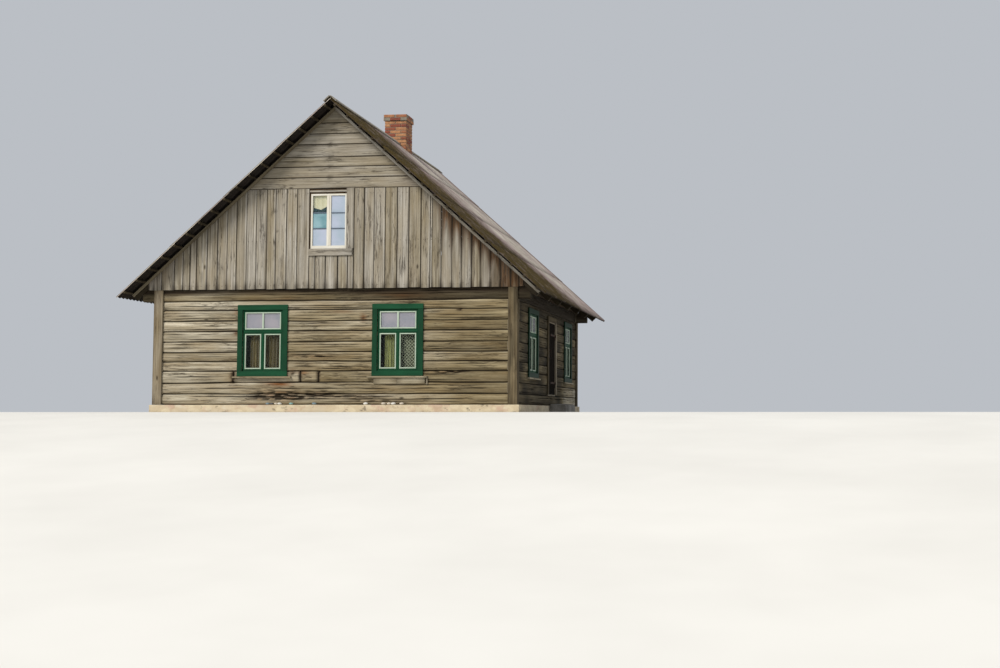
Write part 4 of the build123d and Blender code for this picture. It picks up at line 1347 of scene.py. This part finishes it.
def roof_sheet(shape, side, row, column, slope, length, tone):
    """One wavy sheet, from its lower to its upper end, and between two places along the ridge."""
    low_end, high_end = slope
    start, end = length
    steps = 5
    count = round((end - start) / wave_step * 10)
    grid = []
    for step in range(steps + 1):
        distance = low_end + (high_end - low_end) * step / steps
        raised = 0.0075 * (1 - step / steps) if row else 0.0
        edge = 1.0 if step == 0 else 0.0
        eaves = 1.6 * smooth(3.2, 6.2, distance)
        foot = smooth(eaves_reach - 1.2, eaves_reach, distance) * 0.25
        upper, lower = [], []
        for index in range(count + 1):
            y = start + (end - start) * index / count
            form = 0.5 - 0.5 * math.cos(2 * math.pi * (y + roof_half_length) / wave_step)
            layer = batten_plane + 0.0010 + raised + wave_height * form
            layer += 0.0022 * (y - start) / (end - start)
            verge = max(smooth(0.6 + eaves, -2.9 + eaves, y), 0.5 * smooth(3.1, 4.1, y))
            # A painted highlight along the front edge of the left slope's sheets, which also leaves out
            # the underside's painted shade.
            painted_rim_highlight = 1.0 if index == 0 and column == 0 and side < 0 else 0.0
            moss = min(1.0, max(verge, foot) + 0.15 * (1 - form)) * (1 - painted_rim_highlight)
            grain = (distance + column * 3.1, y + row * 5.3, 0.0)
            above = (tone - 0.12 * (1 - form) + 0.5 * painted_rim_highlight, 0.45 * edge, moss)
            # Painted shade: each sheet's underside is darker in tone and nearly black through its dirt and
            # shade value.
            below = (tone - 0.2 + 0.7 * painted_rim_highlight, 0.95 * (1 - painted_rim_highlight), 0.3 * (1 - painted_rim_highlight))
            upper.append(shape.corner(slope_point(side, distance, layer + sheet_thick, y), grain, *above))
            lower.append(shape.corner(slope_point(side, distance, layer, y), grain, *below))
        grid.append((upper, lower))
    for (upper, lower), (upper_next, lower_next) in zip(grid, grid[1:]):
        for index in range(count):
            after = index + 1
            shape.faces.append((upper[index], upper[after], upper_next[after], upper_next[index]))
            shape.faces.append((lower[index], lower_next[index], lower_next[after], lower[after]))
        for index in (0, count):
            shape.faces.append((upper[index], upper_next[index], lower_next[index], lower[index]))
    for upper, lower in (grid[0], grid[-1]):
        for index in range(count):
            shape.faces.append((upper[index], lower[index], lower[index + 1], upper[index + 1]))


def corrugated_sheets(name, side):
    """Wavy sheets in rows up the slope, each lapping the one below it and its neighbour."""
    shape = Shape()
    chance = random.Random(21 + side)
    top = -covering_plane * rise + 0.02
    exposed = (eaves_reach - top) / sheet_rows
    bolts = []
    for row in range(sheet_rows):
        low_end = eaves_reach - row * exposed
        high_end = max(top, low_end - exposed - sheet_lap)
        for column in range(math.ceil(wave_count / sheet_waves)):
            first = column * sheet_waves
            waves = min(sheet_waves, wave_count - first)
            start = -roof_half_length + first * wave_step
            end = min(start + (waves + 0.3) * wave_step, roof_half_length)
            shift = chance.uniform(-0.008, 0.008) if row else chance.uniform(-0.014, 0.0)
            tone = chance.uniform(0.36, 0.64)
            roof_sheet(shape, side, row, column, (low_end + shift, high_end), (start, end), tone)
            crests = [start + crest * wave_step for crest in bolt_waves if crest < waves]
            for distance in (low_end - 0.16, low_end - exposed * 0.5):
                bolts += [(distance, y) for y in crests]
    make(f"roof_sheets_{name}", shape, roof_finish, "roof_sheet", [f"roof_covering_{name}"], crease=60)
    return bolts


# Things that repeat, placed by Geometry Nodes


def repeat_tree():
    """Puts a piece on every point, turned as the point says, with a seeded spread of size and turn."""
    tree = bpy.data.node_groups.new("piece_on_points", "GeometryNodeTree")
    sockets = [
        ("Points", "NodeSocketGeometry", None),
        ("Piece", "NodeSocketObject", None),
        ("Smallest size", "NodeSocketFloat", 1.0),
        ("Largest size", "NodeSocketFloat", 1.0),
        ("Turn spread", "NodeSocketFloat", 0.0),
        ("Seed", "NodeSocketInt", 1),
        ("Finish", "NodeSocketMaterial", None),
    ]
    for label, kind, value in sockets:
        socket = tree.interface.new_socket(name=label, in_out="INPUT", socket_type=kind)
        if value is not None:
            socket.default_value = value
    tree.interface.new_socket(name="Geometry", in_out="OUTPUT", socket_type="NodeSocketGeometry")
    given = tree.nodes.new("NodeGroupInput").outputs
    output = tree.nodes.new("NodeGroupOutput")
    info = tree.nodes.new("GeometryNodeObjectInfo")
    copies = tree.nodes.new("GeometryNodeInstanceOnPoints")
    whole = tree.nodes.new("GeometryNodeRealizeInstances")
    dressed = tree.nodes.new("GeometryNodeSetMaterial")
    sizes = tree.nodes.new("FunctionNodeRandomValue")
    sizes.data_type = "FLOAT"
    spin = tree.nodes.new("FunctionNodeRandomValue")
    spin.data_type = "FLOAT_VECTOR"
    turn = tree.nodes.new("GeometryNodeInputNamedAttribute")
    turn.data_type = "FLOAT_VECTOR"
    turn.inputs["Name"].default_value = "turn"
    opposite = tree.nodes.new("ShaderNodeMath")
    opposite.operation = "MULTIPLY"
    opposite.inputs[1].default_value = -1.0
    total = tree.nodes.new("ShaderNodeVectorMath")
    total.operation = "ADD"
    links = [
        (given["Piece"], info.inputs["Object"]),
        (given["Smallest size"], in_use(sizes.inputs)[0]),
        (given["Largest size"], in_use(sizes.inputs)[1]),
        (given["Seed"], sizes.inputs["Seed"]),
        (given["Turn spread"], opposite.inputs[0]),
        (opposite.outputs[0], in_use(spin.inputs)[0]),
        (given["Turn spread"], in_use(spin.inputs)[1]),
        (given["Seed"], spin.inputs["Seed"]),
        (in_use(turn.outputs)[0], total.inputs[0]),
        (in_use(spin.outputs)[0], total.inputs[1]),
        (given["Points"], copies.inputs["Points"]),
        (info.outputs["Geometry"], copies.inputs["Instance"]),
        (total.outputs[0], copies.inputs["Rotation"]),
        (in_use(sizes.outputs)[0], copies.inputs["Scale"]),
        (copies.outputs[0], whole.inputs[0]),
        (whole.outputs[0], dressed.inputs["Geometry"]),
        (given["Finish"], dressed.inputs["Material"]),
        (dressed.outputs[0], output.inputs[0]),
    ]
    for start, end in links:
        tree.links.new(start, end)
    return tree


repeater = repeat_tree()


def in_scene(name, mesh):
    """An object in the scene that holds a mesh."""
    holder = bpy.data.objects.new(name, mesh)
    bpy.context.scene.collection.objects.link(holder)
    return holder


def repeated(name, spots, pattern, finish, slot, replaces=(), body="house", **spread):
    """A plain mesh with a copy of the pattern at each spot, which says its place, turn and tone."""
    places, turns, tones = zip(*spots)
    mesh = bpy.data.meshes.new(name + "_points")
    mesh.from_pydata([tuple(place) for place in places], [], [])
    turn = mesh.attributes.new("turn", "FLOAT_VECTOR", "POINT")
    turn.data.foreach_set("vector", [value for angles in turns for value in angles])
    tone = mesh.attributes.new("tone", "FLOAT", "POINT")
    tone.data.foreach_set("value", tones)
    holder = in_scene(name + "_points", mesh)
    modifier = holder.modifiers.new("copies", "NODES")
    modifier.node_group = repeater
    values = {
        "Piece": pattern,
        "Smallest size": spread.get("smallest", 1.0),
        "Largest size": spread.get("largest", 1.0),
        "Turn spread": spread.get("turn", 0.0),
        "Seed": spread.get("seed", 1),
        "Finish": finish,
    }
    for item in repeater.interface.items_tree:
        if item.in_out == "INPUT" and item.name in values:
            modifier[item.identifier] = values[item.name]
    graph = bpy.context.evaluated_depsgraph_get()
    solid = bpy.data.meshes.new_from_object(
        holder.evaluated_get(graph), preserve_all_data_layers=True, depsgraph=graph
    )
    bpy.data.objects.remove(holder)
    bpy.data.objects.remove(pattern)
    piece_from(name, solid, finish, slot, replaces, body)


def pattern_from(name, shape):
    """A small mesh for the repeater, in the scene until it has been copied."""
    mesh = bpy.data.meshes.new(name)
    mesh.from_pydata(shape.places, [], shape.faces)
    face_outwards(mesh)
    return in_scene(name, mesh)


def turned_pattern(name, profile, sides, stretch=1.0):
    """A small turned piece, from radius and height pairs, stretched along its X."""
    shape = Shape()
    rings = []
    for radius, height in profile:
        ring = []
        for index in range(sides):
            turn = 2 * math.pi * index / sides
            ring.append(shape.corner((radius * stretch * math.cos(turn), radius * math.sin(turn), height)))
        rings.append(ring)
    shape.loft(rings)
    return pattern_from(name, shape)


brick_half = (0.125, 0.060, 0.0325)
brick_edge = 0.006


def brick_pattern():
    """A brick with worn corners."""
    shape = Shape()
    rings = []
    end, side, flat = brick_half
    edge = brick_edge
    for x, worn in ((-end, edge), (-end + edge, 0), (0.02, 0.001), (end - edge, 0), (end, edge)):
        w, h = side - worn, flat - worn
        outline = [(-w, -h + edge), (-w + edge, -h), (w - edge, -h), (w, -h + edge)]
        outline += [(w, h - edge), (w - edge, h), (-w + edge, h), (-w, h - edge)]
        rings.append([shape.corner((x, y, z)) for y, z in outline])
    shape.loft(rings)
    return pattern_from("brick", shape)


def facing(out):
    """The turn that points a piece's own Z along a direction."""
    return tuple(Vector(out).to_track_quat("Z", "Y").to_euler())


def roof_bolts(bolts_by_side):
    """A cap on every place that the sheets give for a bolt."""
    spots = []
    for side, bolts in bolts_by_side:
        turn = facing((side * across, 0, along))
        for distance, y in bolts:
            spots.append((slope_point(side, distance, batten_plane + 0.047, y), turn, 0.5))
    cap = turned_pattern("bolt_cap", [(0.013, -0.004), (0.013, 0.0), (0.009, 0.003), (0.004, 0.005)], 7)
    repeated("roof_bolts", spots, cap, iron_finish, "iron", turn=0.05)


def wall_nails():
    """Three rows of nails in the gable boards."""
    spots = []
    chance = random.Random(5)
    for name in ("front", "back"):
        wall = walls[name]
        for level in (2.56, 3.45, 4.42):
            s = -3.6
            while s < 3.6:
                inside = attic_left - 0.05 < s < attic_right + 0.05 and level > attic_low - 0.1
                if roof_height(s, board_layer) > level + 0.08 and not inside:
                    place = wall.at(s, level + chance.uniform(-0.012, 0.012), gable_front - 0.004)
                    spots.append((place, facing(wall.out), 0.5))
                s += chance.uniform(0.07, 0.11)
    head = turned_pattern("nail_head", [(0.0055, -0.003), (0.0055, 0.001), (0.003, 0.0025)], 6)
    repeated("gable_nails", spots, head, iron_finish, "iron", turn=0.1, smallest=0.8, largest=1.2)


def ledge_pebbles():
    """Stones that lie along the foundation's ledge at the front, each with its place and shade."""
    spots = []
    chance = random.Random(12)
    stones = [(-1.33, 0.3), (-1.25, 0.1), (-1.16, 0.9), (-1.08, 0.5), (-0.84, 0.7), (-0.36, 0.3)]
    stones += [(0.70, 0.5), (1.07, 0.9), (1.18, 0.9), (1.27, 0.5), (1.44, 0.9)]
    for s, tone in stones:
        place = walls["front"].at(s, foundation_top + 0.020, 0.034 + chance.uniform(-0.003, 0.004))
        spots.append((place, (0, 0, chance.uniform(-0.3, 0.3)), tone))
    profile = [(0.010, -0.024), (0.030, -0.017), (0.037, -0.002), (0.031, 0.015), (0.012, 0.024)]
    stone = turned_pattern("pebble", profile, 10, stretch=1.35)
    spread = {"turn": 0.12, "smallest": 0.75, "largest": 1.0}
    repeated("ledge_pebbles", spots, stone, pebble_finish, "step_stone", **spread)


stack_half = 0.255
brick_level = 5.35


def chimney_courses(crown_low, top):
    """Brick courses from the top down to under the roof, wider in the crown, each turned on the next."""
    spots = []
    chance = random.Random(33)
    course = 0.075
    half_step = 0.130
    level = top - course
    number = 0
    while level > brick_level:
        wider = 0.03 if level > crown_low - 0.01 else 0.0
        reach = stack_half + wider - brick_half[1]
        step = half_step + wider / 2
        bricks = [(x, y, 0) for y in (-reach, reach) for x in (-step, step)]
        bricks += [(-reach, 0, 1), (reach, 0, 1)]
        for x, y, turned in bricks:
            if number % 2:
                x, y = -y, x
                turned = 1 - turned
            place = (x, chimney_y + y, level + brick_half[2])
            turn = (0, 0, turned * math.pi / 2 + chance.choice((0, math.pi)))
            spots.append((place, turn, chance.random()))
        level -= course
        number += 1
    brick = brick_pattern()
    repeated("chimney_bricks", spots, brick, brick_finish, "brick", ["chimney_stack"], turn=0.006, seed=4)


def chimney():
    """A plastered shaft below, a mortar core between the bricks, and a crown round an open flue."""
    low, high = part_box("chimney_crown")
    crown_low, top = low.z, high.z
    chimney_courses(crown_low, top)
    shape = Shape()
    core, crown = 0.247, 0.277
    flue = (0.135, 0.070)

    def square(x_half, y_half, z):
        corners = [(-x_half, -y_half), (x_half, -y_half), (x_half, y_half), (-x_half, y_half)]
        return [shape.corner((x, chimney_y + y, z)) for x, y in corners]

    shaft = [(stack_half, 0.0), (stack_half, brick_level - 0.05)]
    shaft += [(core, brick_level + 0.01), (core, crown_low)]
    shape.loft([square(half, half, z) for half, z in shaft])
    rings = [square(crown, crown, crown_low), square(crown, crown, top - 0.012)]
    rings += [square(*flue, top - 0.012), square(*flue, crown_low + 0.001)]
    for first, second in zip(rings, rings[1:] + rings[:1]):
        for index in range(4):
            after = (index + 1) % 4
            shape.faces.append((first[index], first[after], second[after], second[index]))
    make("chimney_mortar", shape, mortar_finish, "brick", ["chimney_crown"], crease=30)


# Ground, floors and door


def foundation_strips():
    """Lime render with a worn, uneven face and ledge."""
    shape = Shape()
    levels = (0.0, 0.04, 0.08, 0.115, 0.138, 0.149)
    for index, (low, high) in enumerate(solids_of("foundation")):
        lengthwise = 0 if high[0] - low[0] > high[1] - low[1] else 1
        other = 1 - lengthwise
        length = high[lengthwise] - low[lengthwise]
        count = round(length / 0.07) + 1
        near, far = low[other], high[other]
        ledge = (near + 0.012, near + 0.05, far - 0.05, far - 0.012)
        outline = [(near, z) for z in levels]
        outline += [(place, foundation_top) for place in ledge]
        outline += [(far, z) for z in reversed(levels)]
        rings = []
        for number in range(count):
            u = low[lengthwise] + length * number / (count - 1)
            ring = []
            for place, z in outline:
                inwards = 1 if place < (near + far) / 2 else -1
                rough = 0.5 + 0.5 * wave(u * 6, z * 22, index * 5 + inwards)
                lumps = 0.5 + 0.5 * wave(u * 1.9, z * 7, index * 9 + inwards)
                worn = (0.007 * rough + 0.011 * lumps) * (0.3 if z < 0.01 else 1.0)
                edge = smooth(0.05, 0.0, min(abs(place - near), abs(place - far)))
                spot = [0.0, 0.0, z - (0.006 * rough if z > 0.14 else 0.0)]
                spot[lengthwise] = u
                spot[other] = place + inwards * worn * edge
                ring.append(shape.corner(spot, dirt_and_shade=0.55 * smooth(0.05, 0.0, z) * rough))
            rings.append(ring)
        shape.loft(rings)
    make("foundation_render", shape, render_finish, "masonry", ["foundation"], crease=60)


def step_stone():
    """A flat field stone with worn corners."""
    low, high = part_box("door_step")
    shape = Shape()
    rings = []
    count = 15
    outline = [(0, 0), (0, 0.1), (0, 0.165), (0.02, 0.186), (0.12, 0.19)]
    outline += [(0.3, 0.19), (0.385, 0.184), (0.41, 0.16), (0.42, 0.09), (0.42, 0)]
    for number in range(count):
        share = number / (count - 1)
        y = low.y + (high.y - low.y) * share
        pinch = 0.05 * (abs(2 * share - 1) ** 6)
        ring = []
        for x, z in outline:
            inward = 0.02 * (0.5 + 0.5 * wave(y * 4, z * 12, x * 9)) + pinch
            lowered = 0.008 * (0.5 + 0.5 * wave(x * 8, y * 5, 2.0)) + pinch * 0.3
            x_moved = x if x < 0.01 else max(0.01, x - inward)
            z_moved = z - lowered if z > 0.15 else z
            ring.append(shape.corner((low.x + x_moved, y, z_moved)))
        rings.append(ring)
    shape.loft(rings)
    make("step_stone", shape, step_finish, "step_stone", ["door_step"], crease=50)


def floor_planks(name, node, seed, width):
    """Boards across the house, cut round the chimney stack."""
    shape = Shape()
    chance = random.Random(seed)
    axes = (Vector((1, 0, 0)), Vector((0, 1, 0)), up)
    for field, (low, high) in enumerate(solids_of(node)):
        y = low[1]
        while y < high[1] - 0.02:
            wide = min(width * chance.uniform(0.85, 1.15), high[1] - y)
            corner = Vector((low[0], y, low[2]))
            plank(
                shape, (corner, *axes), 0.0, high[0] - low[0], wide, high[2] - low[2],
                seed + field * 40 + len(shape.places),
                gap=0.001, wander=0.0008, relief=0.001, step=1.2, edge=0.002,
            )
            y += wide
    make(name, shape, floor_wood, "floor_wood", [node])


def door_boards():
    """Upright boards nailed on three ledges, very dark."""
    shape = Shape()
    low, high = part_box("door_leaf")
    wall = walls["right"]
    s, z, out = wall.span((tuple(low), tuple(high)))
    middle = (z[0] + z[1]) / 2
    count = 5
    wide = (s[1] - s[0]) / count
    board_thick = 0.027
    board_back = out[1] - board_thick
    ledge_half = 0.07
    ledges = (z[0] + 0.26, middle, z[1] - 0.26)
    wear = {"wander": 0.0008, "relief": 0.0012, "columns": 4, "edge": 0.003, "edge_dirt": 0.8}
    for index in range(count):
        span = inset((s[0] + wide * index, s[0] + wide * (index + 1)), 0.0012)
        board_on(shape, wall, span, z, (board_back, out[1]), 2000 + index, upright=True, **wear)
    for level in ledges:
        heights = (level - ledge_half, level + ledge_half)
        seed = 2010 + round(level * 10)
        board_on(shape, wall, inset(s, 0.03), heights, (out[0], board_back), seed, upright=False)
    make("door_boards", shape, door_wood, "door_wood", ["door_leaf"], body="door")
    spots = []
    for index in range(count):
        for level in (z[0] + 0.22, z[0] + 0.30, middle, z[1] - 0.30, z[1] - 0.22):
            share = 0.3 + 0.4 * ((index + round(level * 10)) % 2)
            place = wall.at(s[0] + wide * (index + share), level, 0.0)
            spots.append((place, facing(wall.out), 0.5))
    head = turned_pattern("door_nail_head", [(0.006, -0.003), (0.006, 0.001), (0.003, 0.003)], 6)
    repeated("door_nails", spots, head, iron_finish, "iron", body="door", turn=0.1)


def door_lining():
    """The jambs, stops, head and threshold of the doorway."""
    shape = Shape()
    place, half, clear_half = 0.2, 0.45, 0.40
    low, sill, head, high = 0.365, 0.400, 2.015, 2.065
    stop = 0.015
    whole, clear = (place - half, place + half), (place - clear_half, place + clear_half)
    between = inset((sill, head), 0.0005)
    deep, stop_out = (-log_depth, 0.0), (-0.075, -0.050)
    members = [
        (whole, (head, high), deep),
        (whole, (low, sill), deep),
        ((whole[0], clear[0]), between, deep),
        ((clear[1], whole[1]), between, deep),
        ((clear[0], clear[0] + stop), between, stop_out),
        ((clear[1] - stop, clear[1]), between, stop_out),
    ]
    wear = {"wander": 0.0003, "relief": 0.0008, "edge": 0.002, "tone": 0.5}
    for index, (s, z, out) in enumerate(members):
        board_on(shape, walls["right"], s, z, out, 2100 + index, **wear)
    make("door_lining", shape, trim_wood, "door_wood", ["door_frame"])


def patch_boards():
    """Repairs on the front wall: pale boards and a slip under the right window."""
    shape = Shape()
    boards = [
        ((0.85, 1.33), (0.562, 0.700), 0.016, 0.44),
        ((1.332, 1.900), (0.566, 0.704), 0.018, 0.50),
        ((1.925, 1.962), (0.55, 0.72), 0.012, 0.55),
    ]
    wear = {"relief": 0.002, "edge_dirt": 0.4, "end_dirt": 0.5, "edge": 0.002}
    for index, (s, z, front, tone) in enumerate(boards):
        board_on(shape, walls["front"], s, z, (-0.004, front), 2201 + index, tone=tone, **wear)
    make("patch_boards", shape, patch_wood, "hewn_log")


def ridge_planks():
    """The two boards over the ridge, one on each slope."""
    shape = Shape()
    wide, thick = 0.165, 0.020
    for index, (low, high) in enumerate(solids_of("ridge_boards")):
        side = 1 if low[0] + high[0] > 0 else -1
        start = slope_point(side, 0, covering_plane, low[1])
        downwards = (slope_point(side, 1, covering_plane, low[1]) - start).normalized()
        outwards = Vector((side * across, 0, along))
        corner = start + downwards * (-covering_plane * rise + 0.004)
        plank(
            shape, (corner, Vector((0, 1, 0)), downwards, outwards), 0.0, high[1] - low[1], wide, thick,
            2300 + index, relief=0.003, columns=3,
        )
    make("ridge_planks", shape, board_wood, "gable_wood", ["ridge_boards"])


def coat(name, finish):
    """Give a CAD node its finish."""
    node = nodes[name]
    node.data.materials.clear()
    node.data.materials.append(finish)


def build_house():
    for name in walls:
        log_wall(name)
    corner_planks()
    for name in ("front", "back"):
        gable_planks(name)
        peak_planks(name)
    verge_boards()
    patch_boards()
    casing_boards()
    wear = {"relief": 0.003, "upright": False}
    boards_from("window_sill_boards", "window_sills", patch_wood, "trim_wood", 2500, **wear)
    wear = {"relief": 0.002, "tone": 0.50}
    boards_from("attic_trim_boards", "attic_window_trims", board_wood, "gable_wood", 2600, **wear)
    doorway_boards()
    window_joinery()
    attic_joinery()
    curtains()
    roof_bolts([(side, corrugated_sheets(name, side)) for name, side in (("left", -1), ("right", 1))])
    ridge_planks()
    wall_nails()
    ledge_pebbles()
    chimney()
    foundation_strips()
    step_stone()
    floor_planks("floor_planks", "floorboards", 2800, 0.16)
    floor_planks("attic_floor_planks", "attic_floor", 3300, 0.22)
    door_boards()
    door_lining()
    for name in ("floor_joists", "ceiling_beams"):
        coat(name, beam_wood)
    coat("wall_plates", plate_wood)
    coat("gable_studs", stud_wood)
    for name in ("left", "right"):
        coat(f"rafters_{name}", rafter_wood[name])
        coat(f"roof_battens_{name}", batten_wood)
    for name in ("door_straps", "door_pintles", "door_handle"):
        coat(name, iron_finish)
    coat("window_glass", room_glass)
    coat("attic_window_glass", sky_glass)


# Camera, floor and light


def photo_camera():
    data = bpy.data.cameras.new("photo_camera")
    data.sensor_width = 36
    data.lens = 48.33
    data.shift_x = -0.149
    data.clip_start = 0.5
    data.clip_end = 600
    camera = bpy.data.objects.new("photo_camera", data)
    bpy.context.scene.collection.objects.link(camera)
    camera.location = (9.225, -29.830, -0.043)
    camera.rotation_euler = (math.pi / 2 + 0.0597, 0, 0.1079)
    bpy.context.scene.camera = camera


def studio_floor():
    """A pale floor, level round the house and falling away towards the camera, which stands lower."""
    places, faces = [], []
    levels = [-160, -60, -40, -34] + [-30 + index for index in range(26)] + [-4.3, 0, 20, 60, 160]
    for y in levels:
        fall = -2.0 * smooth(-4.3, -30.0, y)
        for x in (-160, 160):
            places.append((x, y, fall))
    for index in range(len(levels) - 1):
        first = index * 2
        faces.append((first, first + 1, first + 3, first + 2))
    mesh = bpy.data.meshes.new("studio_floor")
    mesh.from_pydata(places, [], faces)
    floor = bpy.data.objects.new("studio_floor", mesh)
    bpy.context.scene.collection.objects.link(floor)
    finish = Finish("studio_floor", roughness=0.95)
    cloud = finish.noise(finish.place(), 0.4, 3.0)
    colour = finish.mixed(finish.between(cloud, 0.3, 0.7), paint(214, 212, 206), paint(222, 220, 214))
    mesh.materials.append(finish.done(colour))
    floor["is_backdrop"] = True


def studio_light():
    world = bpy.data.worlds.new("studio")
    bpy.context.scene.world = world
    world.use_nodes = True
    sky = world.node_tree.nodes["Background"]
    sky.inputs[0].default_value = (0.80, 0.84, 0.90, 1)
    sky.inputs[1].default_value = 0.62
    data = bpy.data.lights.new("soft_sun", "SUN")
    data.energy = 3.5
    data.angle = math.radians(24)
    data.color = (1.0, 0.96, 0.90)
    sun = bpy.data.objects.new("soft_sun", data)
    bpy.context.scene.collection.objects.link(sun)
    sun.rotation_euler = (math.radians(48), 0, math.radians(-32))


build_house()
photo_camera()
studio_floor()
studio_light()
bpy.context.scene.view_settings.view_transform = "Standard"

dressed_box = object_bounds()
[[list(corner) for corner in box] for box in (cad_box, dressed_box)]
